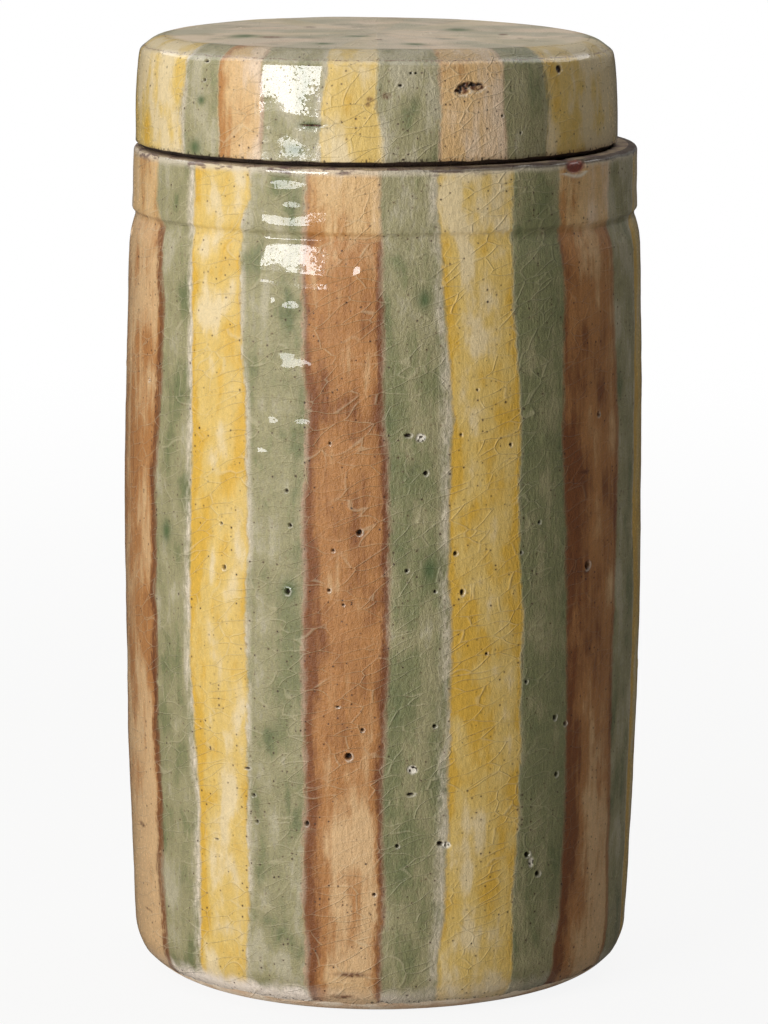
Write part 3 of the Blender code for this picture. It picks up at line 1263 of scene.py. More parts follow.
class TurnedClay:
    """A piece of clay turned on the wheel and worked by hand. Its own class says what is its own."""

    name = "turned_clay"
    body = ""
    node = ""
    columns = 360
    cuts = 4  # in each edge near a mark
    cut_reach = (0.75, 0.0009)  # how far from it: a share of its longer side, and metres more
    painting: Painting

    def outline(self) -> list[Stretch]:
        """The closed outline, from the axis round to the axis again."""
        raise NotImplementedError

    def meet(self, pixel: Point) -> Vector:
        """The place on the turned wall that a pixel of the photograph shows."""
        raise NotImplementedError

    def wave(self, point: Sequence[float], outside: float) -> float:
        """How far the hand-made surface stands off the turned one, in millimetres."""
        raise NotImplementedError

    def settle(self, points: np.ndarray) -> np.ndarray:
        """Moves the whole piece as the real one has sagged or sits."""
        raise NotImplementedError

    def marks(self) -> list[Seated]:
        """The faults in the surface."""
        raise NotImplementedError

    def finishes(self) -> list[bpy.types.Material]:
        """The piece's materials, in the order of Finish."""
        raise NotImplementedError

    def turn(self) -> bpy.types.Mesh:
        """Turns the outline into a closed mesh with its two UV maps.

        Returns:
            The mesh.
        """
        stretches = self.outline()
        rows = [stretches[0].points[0]]
        spans = []  # per ring of faces: its stretch, and how far along it the ring starts and ends
        downs = [0.0]
        for stretch in stretches:
            lengths = [0.0]
            for before, after in zip(stretch.points, stretch.points[1:]):
                lengths.append(lengths[-1] + math.dist(before, after))
                rows.append(after)
                downs.append(downs[-1] + math.dist(before, after))
            spans += [(stretch, start / lengths[-1], end / lengths[-1])
                      for start, end in zip(lengths, lengths[1:])]
        zero = next(down for down, (stretch, _, _) in zip(downs, spans) if stretch.finish is Finish.GLAZE)

        strokes = StrokeMap(self.painting, self.meet)
        azimuths = [math.tau * column / self.columns - math.pi for column in range(self.columns + 1)]
        points, first = [], []
        for radius, height in rows:
            first.append(len(points))
            if radius == 0:
                points.append((0.0, 0.0, height))
                continue
            points += [(radius * math.sin(a), -radius * math.cos(a), height) for a in azimuths[:-1]]

        faces, finishes, painting, baking = [], [], [], []
        for index, (stretch, start, end) in enumerate(spans):
            reach = max(radius for radius, _ in stretch.points)
            for column in range(self.columns):
                corners = []  # row, column on it, and how far along the stretch
                for row, turn, along in ((index, column, start), (index, column + 1, start),
                                         (index + 1, column + 1, end), (index + 1, column, end)):
                    pole = rows[row][0] == 0
                    if not (pole and turn != column):
                        corners.append((row, turn, along, first[row] + (0 if pole else turn % self.columns)))
                strip = column * stretch.sheet.strips // self.columns
                for row, turn, along, vertex in corners:
                    stripe = strokes.at(azimuths[turn], rows[row][1])
                    painting += [stripe, (downs[row] - zero) / MM]
                    if stretch.disc:
                        baking += stretch.sheet.flat(points[vertex][0], points[vertex][1], reach)
                    else:
                        baking += stretch.sheet.wrapped(turn / self.columns, along, strip)
                faces.append([corner[3] for corner in corners])
                finishes.append(stretch.finish.value)

        mesh = bpy.data.meshes.new(self.name)
        mesh.from_pydata(points, [], faces)
        mesh.polygons.foreach_set("material_index", finishes)
        for name, values in ((PAINTING, painting), (BAKING, baking)):
            mesh.uv_layers.new(name=name).uv.foreach_set("vector", values)
        return mesh

    def refine(self, mesh: bpy.types.Mesh, marks: Sequence[Seated]) -> None:
        """Cuts the faces round each mark finer, so that its shape is in the mesh. Haze has no shape.

        Args:
            mesh: the turned mesh.
            marks: the marks.
        """
        work = bmesh.new()
        work.from_mesh(mesh)
        work.faces.ensure_lookup_table()
        centres = np.array([face.calc_center_median() for face in work.faces])
        near = set()
        share, more = self.cut_reach
        for seated in marks:
            if seated.mark.kind is MarkKind.HAZE:
                continue
            reach = max(seated.mark.width, seated.mark.height) * MM * share + more
            near.update(np.flatnonzero(np.linalg.norm(centres - seated.centre, axis=1) < reach))
        edges = {edge for index in near for edge in work.faces[index].edges}
        bmesh.ops.subdivide_edges(work, edges=list(edges), cuts=self.cuts, use_grid_fill=True)
        bmesh.ops.recalc_face_normals(work, faces=work.faces)
        work.to_mesh(mesh)
        work.free()

    def work_surface(self, mesh: bpy.types.Mesh, marks: Sequence[Seated]) -> None:
        """Moves the points off the turned surface and writes what the marks leave in the glaze.

        Args:
            mesh: the refined mesh.
            marks: the marks.
        """
        count = len(mesh.vertices)
        points, normals = np.empty(count * 3, np.float32), np.empty(count * 3, np.float32)
        mesh.vertices.foreach_get("co", points)
        mesh.vertex_normals.foreach_get("vector", normals)
        points, normals = points.reshape(-1, 3).astype(float), normals.reshape(-1, 3).astype(float)
        outside = np.einsum("ij,ij->i", points[:, :2], normals[:, :2])
        off = np.array([self.wave(point / MM, out) for point, out in zip(points, outside)])
        traces = {trace: np.zeros(count) for trace in Trace}
        for index, seated in enumerate(marks):
            press(points, off, traces, seated, index)
        moved = self.settle(points + normals * off[:, None] * MM)
        mesh.vertices.foreach_set("co", moved.astype(np.float32).ravel())
        for trace, values in traces.items():
            layer = mesh.attributes.new(trace.value, "FLOAT", "POINT")
            layer.data.foreach_set("value", values.astype(np.float32))
        mesh.update()

    def make(self) -> bpy.types.Object:
        """Builds, dresses and places the piece.

        Returns:
            The finished object.
        """
        marks = self.marks()
        mesh = self.turn()
        self.refine(mesh, marks)
        self.work_surface(mesh, marks)
        mesh.shade_smooth()
        for material in self.finishes():
            mesh.materials.append(material)
        piece = bpy.data.objects.new(self.name, mesh)
        bpy.context.scene.collection.objects.link(piece)
        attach(piece, self.body)
        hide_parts(self.node)
        log.info("%s: %d faces, %d marks", self.name, len(mesh.polygons), len(marks))
        return piece


def press(points: np.ndarray, off: np.ndarray, traces: dict[Trace, np.ndarray], seated: Seated,
          seed: int) -> None:
    """Presses one mark into the surface.

    Args:
        points: the turned surface's points.
        off: how far each point stands off it, in millimetres, which this changes.
        traces: what the marks leave, which this adds to.
        seated: the mark and its place.
        seed: makes the mark's outline its own.
    """
    mark = seated.mark
    away = points - seated.centre
    furthest = max(mark.width, mark.height) * 1.2 * MM
    near = np.flatnonzero(np.einsum("ij,ij->i", away, away) < furthest**2)
    side = away[near] @ seated.sideways / (mark.width / 2 * MM)
    length = away[near] @ seated.lengthwise / (mark.height / 2 * MM)
    edge = np.array([1 + 0.22 * noise.noise(Vector((s * 0.9, t * 0.9, seed * 3.7)))
                     for s, t in zip(side, length)])
    reach = np.hypot(side, length) / edge  # 0 in the middle, 1 on the mark's ragged outline
    hollow = np.sqrt(np.clip(1 - reach**2, 0, 1))
    soft = np.exp(-1.6 * reach**2)
    inside = np.clip((1.0 - reach) / 0.35, 0, 1)
    lip = np.exp(-((reach - 1.25) / 0.25) ** 2)
    lit = np.clip(0.5 + 0.9 * side - 0.6 * length, 0, 1)  # the side that catches the light

    def leave(trace: Trace, amount: np.ndarray) -> None:
        """Marks the glaze, where this mark is stronger than what is there."""
        traces[trace][near] = np.maximum(traces[trace][near], amount)

    def crumbled(scale: float) -> np.ndarray:
        """A rough surface, between -1 and 1."""
        return np.array([noise.noise(Vector(point / MM * scale)) for point in points[near]])

    if mark.kind is MarkKind.PINHOLE:
        off[near] += 0.10 * mark.depth * lip - mark.depth * hollow
        leave(Trace.PIT, inside)
        # pale chalk on the lit side of the lip, a painted highlight
        leave(Trace.CHALK_AND_GLINT, 0.55 * lip * lit)
    elif mark.kind is MarkKind.SORE:
        rough = crumbled(1.7)
        off[near] -= mark.depth * inside * (0.7 + 0.6 * rough)
        leave(Trace.CHALK_AND_GLINT, inside * (rough > -0.25))
        leave(Trace.PIT, inside * (rough < -0.2))
    elif mark.kind is MarkKind.GOUGE:
        rough = crumbled(1.3)
        off[near] -= mark.depth * hollow * (1 + rough)
        leave(Trace.RUST, inside)
        leave(Trace.PIT, inside * (rough + 0.5 * length > 0.1))
        # pale chalk on the lit side of the lip, a painted highlight
        leave(Trace.CHALK_AND_GLINT, 0.5 * lip * lit * (rough > 0))
    elif mark.kind is MarkKind.CHIP:
        off[near] -= mark.depth * inside
        leave(Trace.BRICK, inside)
        leave(Trace.CHALK_AND_GLINT, 0.8 * lip * (length < -0.7))
    else:
        off[near] -= mark.depth * soft
        dull = np.clip(1.5 * (1.2 - reach), 0, 1)
        stains = {MarkKind.POOL: (Trace.POOL, soft), MarkKind.MATT: (Trace.MATT, dull),
                  MarkKind.HAZE: (Trace.HAZE, dull),
                  MarkKind.RUST: (Trace.RUST, 0.85 * np.clip(1.5 * (1 - reach), 0, 1))}
        if mark.kind in stains:
            leave(*stains[mark.kind])


def seat_on_wall(mark: Mark, centre: Vector) -> Seated:
    """Seats a mark on an upright wall.

    Args:
        mark: the mark.
        centre: its place.

    Returns:
        The seated mark.
    """
    out = np.array((centre.x, centre.y, 0.0))
    out /= np.linalg.norm(out)
    return Seated(mark, np.array(centre), np.array((-out[1], out[0], 0.0)), np.array((0.0, 0.0, 1.0)))


def seat_on_top(mark: Mark, centre: Vector) -> Seated:
    """Seats a mark on a level face."""
    return Seated(mark, np.array(centre), np.array((1.0, 0.0, 0.0)), np.array((0.0, 1.0, 0.0)))


# The marks that the photograph shows. Their order stays, because a mark's number shapes its outline.
POT_MARKS = (
    Marks(MarkKind.PINHOLE, (
        (223.7, 567.3, 1.2, 1.3), (359.3, 532.7, 1.4, 1.5), (289.8, 525.3, 1, 1.1),
        (287.2, 591.9, 1.4, 1.5), (328.8, 590.4, 0.9, 0.9), (343, 605, 0.7, 0.7), (329.7, 443.4, 0.7, 0.8),
        (148.5, 379.6, 1.2, 1), (408, 435.5, 1.7, 1), (425.9, 473.5, 1.2, 1.2), (455.7, 553.4, 1.1, 1.1),
        (462.5, 592.6, 1.2, 1.5), (511.1, 444.5, 0.9, 1), (461.6, 434.7, 0.7, 0.8),
        (477.9, 389.8, 0.7, 0.6), (407, 571, 0.9, 0.9), (435.1, 591.7, 0.8, 0.8), (598.8, 414.2, 1.2, 1.3),
        (586.8, 565.5, 1.9, 1.9), (348.2, 756.8, 1.8, 1.7), (253.3, 795.1, 1.1, 0.9),
        (256.7, 821.6, 0.9, 0.9), (362.4, 730, 0.9, 0.9), (306.6, 823.8, 1, 1.3), (397, 846.4, 1, 1),
        (434.7, 726.2, 1, 1), (410.7, 794.6, 2, 0.9), (555, 717.4, 1.3, 1.3), (565.1, 723.6, 1.2, 1.2),
        (556.3, 773.9, 1.2, 1.3), (526.3, 681.7, 0.9, 0.9), (486.7, 653.6, 0.8, 0.8), (221, 523, 0.8, 0.8),
        (286.6, 490.6, 0.9, 0.9), (332.8, 550.7, 0.8, 0.8), (539.8, 522, 0.9, 0.9),
        (521.7, 552.6, 0.8, 0.8), (246.9, 768, 2, 0.6), (216, 839, 1.5, 0.5), (337.5, 706.9, 1.2, 0.5),
        (526.9, 854.3, 1.6, 1.5), (537.4, 873.4, 1.6, 1.4), (440.3, 843.8, 1.7, 1.2), (374, 895, 0.9, 0.9),
    )),
    Marks(MarkKind.SORE, (
        (420.9, 437.9, 2.6, 2.6), (412.2, 769.8, 3, 2.4), (446.5, 845, 2.6, 2), (531, 862, 1.8, 3),
    ), 0.45),
    Marks(MarkKind.NUB, (
        (544.8, 437.9, 2.2, 2.6), (533.7, 413.8, 1.8, 2.6), (302.9, 366.6, 2.6, 1.6), (290, 309, 4.5, 3.5),
        (288, 370, 8, 5), (303.5, 427, 7.5, 3.8), (257.5, 453, 8.5, 3), (282, 190, 10, 4.6),
        (290, 208, 6, 3.8), (272, 424, 5, 3.4), (271, 303, 2, 2),
    ), -0.22),
    Marks(MarkKind.POOL, (
        (289, 590, 5, 6), (167, 531, 5, 7), (425, 300, 4, 6), (430, 570, 5, 8),
    )),
    Marks(MarkKind.RUST, (
        (584, 472, 5.5, 1.3), (142, 824, 6, 1.6), (586, 571, 3, 1.8), (340, 998, 8, 1.8), (352, 975, 11, 2),
        (149, 909, 7, 0.7),
    )),
    Marks(MarkKind.CHIP, ((575.5, 166.5, 7.6, 3.6),), 0.35),
    Marks(MarkKind.MATT, (
        (327, 257, 8, 14), (300, 286, 17, 5), (272, 272, 7, 5), (318, 221, 5.5, 6), (302, 268, 3, 2),
        (306, 160, 7, 3), (284, 371, 5, 2), (300, 356, 3, 2),
    )),
    Marks(MarkKind.GOUGE, ((595, 972, 7, 3),), 0.5),
    Marks(MarkKind.NUB, ((362.5, 272.5, 4.6, 5.2),), -0.42),
    Marks(MarkKind.HAZE, (
        (284, 202, 18, 14), (284, 395, 24, 50),
    )),
)
LID_MARKS = (
    Marks(MarkKind.PINHOLE, (
        (202.5, 79.4, 1.1, 0.8), (411.5, 72.6, 0.8, 0.8), (416.5, 72.6, 0.8, 0.8), (400.8, 85.5, 1, 0.7),
        (203, 60.5, 1.6, 0.7), (503, 115, 0.7, 0.7), (521, 132, 0.7, 0.7),
    )),
    Marks(MarkKind.GOUGE, (
        (463.5, 88.5, 3.4, 2.6), (470, 83.5, 3.4, 1.5), (478, 86, 4.6, 2.2), (458, 90, 1.6, 0.9),
        (311, 125.7, 6.4, 0.6),
    ), 0.4),
    Marks(MarkKind.GOUGE, ((562, 66, 2, 2.4),), 0.3),
    Marks(MarkKind.NUB, (
        (291, 160, 6.5, 9), (316, 133, 7, 2.2),
    ), -0.2),
    Marks(MarkKind.POOL, (
        (200, 99.5, 3.4, 3), (194.5, 147, 5, 5), (294.5, 150, 6, 4), (310, 125.7, 7, 2.4),
    )),
    Marks(MarkKind.RUST, (
        (370, 99.7, 2.6, 1.6), (367.7, 104.7, 1.6, 1.6), (386, 96, 3, 2),
    )),
    Marks(MarkKind.MATT, (
        (271, 113, 6.5, 9), (319, 106, 7.5, 9.5), (297, 127, 16, 6.5), (271, 150, 6, 8), (315, 148, 9, 9),
        (297, 161, 15, 3),
    )),
    Marks(MarkKind.HAZE, ((290, 152, 24, 9),)),
)
TOP_MARKS = (
    Marks(MarkKind.POOL, (
        (245, 37, 9, 14), (358, 37, 7, 5), (323, 44, 6, 6), (415, 44, 6, 8), (458, 29, 9, 14),
    )),
    Marks(MarkKind.RUST, (
        (272, 38.5, 8, 9), (310, 27.5, 4, 7), (379, 40, 2.5, 4), (503, 33, 3, 7), (520, 36, 2, 3),
        (156.5, 42.5, 2.6, 4),
    )),
)


@dataclass
class JarBody(TurnedClay):
    """The pot: floor, barrel wall, ledge, groove, collar and rim, all one clay."""

    name: str = "striped_pot"
    body: str = "jar"
    node: str = "jar_body"
    rim_height: float = field(default_factory=lambda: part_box("jar_body")[1].z)
    belly_radius: float = field(default_factory=lambda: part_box("jar_body")[1].x)
    belly_height: float = 0.107
    foot_radius: float = 0.0614
    foot_rounding: float = 0.0118
    collar_radius: float = 0.0616
    collar_height: float = 0.0154
    rim_rounding: float = 0.0012
    groove_width: float = 0.0016
    groove_depth: float = 0.0005
    ledge_width: float = 0.0008
    ledge_rounding: float = 0.0080
    ledge_fullness: float = 2.2
    ledge_shares: tuple[float, ...] = (0.0, 0.02, 0.06, 0.12, 0.2, 0.3, 0.4, 0.5, 0.6, 0.7, 0.8, 0.9, 1.0)
    flare: float = 0.00022  # how far the collar spreads just above the groove
    flare_height: float = 0.0045
    wall: float = 0.0065
    floor_thickness: float = 0.0075
    floor_rounding: float = 0.010
    lean: float = 0.0014  # how far the rim's middle stands to the right of the foot's
    roll: float = 0.16  # millimetres that the glaze's lower edge stands out
    roll_height: float = 5.2  # millimetres up from the foot
    roll_width: float = 0.9  # millimetres
    grid: float = 0.00115
    level_step: float = 0.004  # between the points of a level face
    inner_steps: int = 44  # up the inside of the wall
    groove_lip: float = 0.0006  # above the groove, where the collar starts to turn in
    groove_steps: int = 5
    rim_flat: float = 0.001  # of the rim's flat top, which the glaze comes up to
    steady_height: float = 4.0  # millimetres from the rim and the foot in which the waves die down
    throwing: tuple[Wave, ...] = (Wave(0.30, 42.0, 30.0, 1.0), Wave(0.13, 15.0, 9.0, 2.0),
                                  Wave(0.045, 12.0, 2.4, 3.0))
    inner_wave: Wave = Wave(0.25, 24.0, 18.0, 7.0)
    ring_rise: float = 0.16  # of the finger rings inside, in millimetres
    groove_share: float = 0.6  # of the groove's height, in which it reaches its depth
    steadied: float = 0.15  # of the waves is left at the rim and the foot
    ring_rise_every: float = 1.45  # millimetres up for a radian of the finger rings
    ring_twist: float = 0.9  # radians of them for each radian round
    back_seed: int = 11
    back_marks: int = 44
    back_turn: Span = (82.0, 278.0)  # degrees from the front
    back_heights: Span = (0.012, 0.185)
    painting: Painting = Painting(
        rows=(200, 225, 300, 420, 500, 640, 800, 920, 950), first=1, start=-94.0, end=91.0,
        edges=((158.5, 164, 165.5, 160, 157.5, 157.5, 162, 166.5, 168.5),
               (194.5, 194.5, 191.5, 192, 191, 189, 199.5, 200.5, 200.5),
               (249.5, 240.5, 241, 246, 248, 246, 247.5, 248.5, 246.5),
               (305.5, 305.5, 301.5, 308.5, 303.5, 303.5, 303.5, 303, 307.5),
               (380.5, 380.5, 383.5, 383.5, 390.5, 390, 382.5, 384, 381.5),
               (437.5, 438.5, 444.5, 453.5, 449.5, 450, 447.5, 443, 438.5),
               (512.5, 511.5, 512.5, 521.5, 518.5, 522.5, 518.5, 511.5, 512.5),
               (559, 560, 563.5, 562, 565, 566.5, 564.5, 558.5, 553.5),
               (608.5, 608.5, 613.5, 618.5, 617, 612.5, 610.5, 607.5, 603.5),
               (632, 632, 634, 634, 632, 632, 626, 640, 640)),
        brushed=((0.30, 0.6, 0.0), (0.52, 0.6, 0.0), (0.54, 0.4, 0.5), (0.50, 0.5, 0.0), (0.62, 0.35, 0.6),
                 (0.70, 0.4, 0.0), (0.60, 0.6, 0.4), (0.86, 0.6, 0.0), (0.60, 0.12, 0.0), (0.42, 0.5, 0.0)),
        joined=((0.0, 0.2, 1.0), (0.85, 0.6, 0.0), (0.65, 0.35, 0.0), (0.60, 0.3, 0.0), (0.35, 0.3, 0.6),
                (0.66, 0.75, 0.0), (0.20, 0.2, 0.0), (0.10, 0.2, 0.1), (0.12, 0.2, 0.4), (0.5, 0.3, 0.0)))

    @property
    def groove_height(self) -> float:
        """Top of the groove."""
        return self.rim_height - self.collar_height

    @property
    def ledge_height(self) -> float:
        """Top of the barrel, where it rounds into the groove."""
        return self.groove_height - self.groove_width

    @property
    def glaze_end(self) -> Point:
        """The point on the flat of the rim where the bare clay ends and the glaze may start."""
        return self.collar_radius - self.rim_rounding - self.rim_flat, self.rim_height

    def wall_radius(self, height: float) -> float:
        """Outside radius of the barrel, fullest at the belly.

        Args:
            height: metres above the foot.

        Returns:
            The radius.
        """
        if height < self.belly_height:
            share = (self.belly_height - height) / (self.belly_height - self.foot_rounding)
            return self.belly_radius + (self.foot_radius - self.belly_radius) * share**2
        share = (height - self.belly_height) / (self.ledge_height - self.belly_height)
        return self.belly_radius + (self.collar_radius + self.ledge_width - self.belly_radius) * share**2

    def ledge_radius(self, height: float) -> float:
        """Radius where the barrel rounds over into the groove."""
        share = max(0.0, (height - self.ledge_height + self.ledge_rounding) / self.ledge_rounding)
        return self.wall_radius(height) - (self.ledge_width + self.groove_depth) * share**self.ledge_fullness

    def collar_at(self, height: float) -> float:
        """Radius of the collar, which spreads a little towards the groove."""
        share = max(0.0, 1 - (height - self.groove_height) / self.flare_height)
        return self.collar_radius + self.flare * share * (2 - share)

    def inside(self) -> list[Stretch]:
        """The floor, its corner and the wall up to the mouth.

        Returns:
            The stretches of the outline.
        """
        corner_height = self.floor_thickness + self.floor_rounding
        corner_radius = self.wall_radius(corner_height) - self.wall
        level = straight((0.0, self.floor_thickness),
                         (corner_radius - self.floor_rounding, self.floor_thickness), self.level_step)
        corner = arc((corner_radius - self.floor_rounding, corner_height), self.floor_rounding, -90, 0, 8)
        heights = [corner_height + (self.groove_height - corner_height) * step / self.inner_steps
                   for step in range(self.inner_steps + 1)]
        mouth = self.collar_radius - self.wall
        rise = [(min(self.wall_radius(height) - self.wall, mouth + (self.groove_height - height)), height)
                for height in heights]
        lip = arc((mouth + self.rim_rounding, self.rim_height - self.rim_rounding),
                  self.rim_rounding, 180, 90, 4)
        return [Stretch(level, Finish.LINING, Sheet(0.66, 0.17, 0.16, 0.16), disc=True),
                Stretch(corner + rise[1:] + lip[:2], Finish.LINING, Sheet(0.0, 0.0, 0.65, 0.32)),
                Stretch(lip[1:] + [self.glaze_end], Finish.CLAY, Sheet(0.66, 0.0, 0.16, 0.16), disc=True)]

    def outside(self) -> list[Stretch]:
        """The rim, collar, groove, ledge, barrel, foot and underside.

        Returns:
            The stretches of the outline.
        """
        centre = (self.collar_radius - self.rim_rounding, self.rim_height - self.rim_rounding)
        rim = [self.glaze_end] + arc(centre, self.rim_rounding, 90, 0, 6)
        lip_end, groove_top = rim[-1][1], self.groove_height + self.groove_lip
        steps = round((lip_end - groove_top) / self.grid)
        heights = [lip_end + (groove_top - lip_end) * step / steps for step in range(1, steps + 1)]
        collar = [(self.collar_at(height), height) for height in heights]
        sink = self.collar_at(groove_top) - self.collar_radius + self.groove_depth
        shares = [step / self.groove_steps for step in range(1, self.groove_steps + 1)]
        groove = [(self.collar_at(groove_top) - sink * (0.5 - 0.5 * math.cos(math.pi * share)),
                   groove_top - (groove_top - self.ledge_height) * self.groove_share * share)
                  for share in shares]
        ledge = [(self.ledge_radius(self.ledge_height - self.ledge_rounding * share),
                  self.ledge_height - self.ledge_rounding * share) for share in self.ledge_shares]
        top = self.ledge_height - self.ledge_rounding
        steps = round((top - self.foot_rounding) / self.grid)
        heights = [top + (self.foot_rounding - top) * step / steps for step in range(1, steps + 1)]
        barrel = [(self.wall_radius(height), height) for height in heights]
        foot = arc((self.foot_radius - self.foot_rounding, self.foot_rounding),
                   self.foot_rounding, 0, -90, 18)[1:]
        under = straight(foot[-1], (0.0, 0.0), self.level_step)
        wall = rim + collar + groove + ledge + barrel + foot
        return [Stretch(wall, Finish.GLAZE, Sheet(0.0, 0.34, 1.0, 0.66)),
                Stretch(under, Finish.CLAY, Sheet(0.83, 0.17, 0.16, 0.16), disc=True)]

    def outline(self) -> list[Stretch]:
        """Inside up, outside down."""
        return self.inside() + self.outside()

    def wave(self, point: Sequence[float], outside: float) -> float:
        """Throwing waves outside, finger rings inside, and next to nothing on the seats.

        Args:
            point: the place in millimetres.
            outside: below zero where the surface faces the axis.

        Returns:
            Millimetres that the surface stands out.
        """
        height = point[2]
        steady = 1.0
        for distance in (self.rim_height / MM - height, height):
            steady *= min(1.0, max(0.0, distance / self.steady_height))
        if outside < 0:
            around = math.atan2(point[0], -point[1])
            rings = math.sin(height / self.ring_rise_every + self.ring_twist * around)
            return steady * (self.ring_rise * rings + self.inner_wave.at(point))
        rolled = self.roll * math.exp(-(((height - self.roll_height) / self.roll_width) ** 2))
        share = self.steadied + (1 - self.steadied) * steady
        return share * sum(wave.at(point) for wave in self.throwing) + rolled

    def settle(self, points: np.ndarray) -> np.ndarray:
        """Leans the pot to the right."""
        points[:, 0] += self.lean * points[:, 2] / self.rim_height
        return points

    def meet(self, pixel: Point) -> Vector:
        """Finds the place on the wall that a pixel of the photograph shows.

        Args:
            pixel: across and down.

        Returns:
            The place on the turned wall, before it leans.
        """
        def unmoved(at: Vector) -> Vector:
            """Takes the lean off a point."""
            at.x -= self.lean * at.z / self.rim_height
            return at

        def outside(at: Vector) -> bool:
            """Says if a point is before the wall."""
            radius = self.wall_radius(at.z) if at.z < self.ledge_height else self.collar_radius
            return math.hypot(at.x, at.y) > radius and at.y < 0

        return PHOTO.strike(pixel, 0.02, unmoved, outside)

    def seat(self, mark: Mark, pixel: Point) -> Seated:
        """Seats a mark where the photograph has it."""
        return seat_on_wall(mark, self.meet(pixel))

    def marks(self) -> list[Seated]:
        """The marks that the photograph shows, and as many again of their kind round the back.

        Returns:
            The seated marks.
        """
        seated = [mark for marks in POT_MARKS for mark in marks.seated(self.seat)]
        depths = {MarkKind.SORE: 0.4, MarkKind.NUB: -0.2}
        draw = random.Random(self.back_seed)
        for _ in range(self.back_marks):
            azimuth, height = math.radians(draw.uniform(*self.back_turn)), draw.uniform(*self.back_heights)
            size = draw.uniform(0.7, 1.7)
            centre = Vector((math.sin(azimuth), -math.cos(azimuth), 0)) * self.wall_radius(height)
            centre.z = height
            kind = draw.choice([MarkKind.PINHOLE] * 8 + [MarkKind.SORE, MarkKind.NUB, MarkKind.POOL])
            bubble = kind is MarkKind.PINHOLE
            depth = 0.9 * size if bubble else depths.get(kind, 0.0)
            wide = size * (1 if bubble else 2)
            seated.append(seat_on_wall(Mark(kind, wide, wide * draw.uniform(0.7, 1.3), depth), centre))
        return seated

    def finishes(self) -> list[bpy.types.Material]:
        """Striped glaze, bare clay and lining.

        Returns:
            The materials.
        """
        buff = BareClay(pigment(255, 238, 216), pigment(236, 204, 172))
        rim = BareClay(pigment(168, 148, 118), pigment(112, 88, 80))
        # nothing on the pot is worn, because its outline ends before 1000 millimetres
        band = GlazeBand(low=3.4, high=self.rim_height / MM - 0.35, ragged=0.8, rolled=1.0, low_clay=buff,
                         high_clay=rim, washed_above=self.groove_height / MM, full_height=105.0,
                         full_reach=85.0, worn_from=1000.0, strength=0.58, gloss=0.85, drained=0.6,
                         strokes=self.painting.looks(), seams=self.painting.seams())
        return [StripedGlaze().material("pot_striped_glaze", band), rim.material("pot_bare_clay"),
                LiningGlaze().material("pot_lining_glaze")]


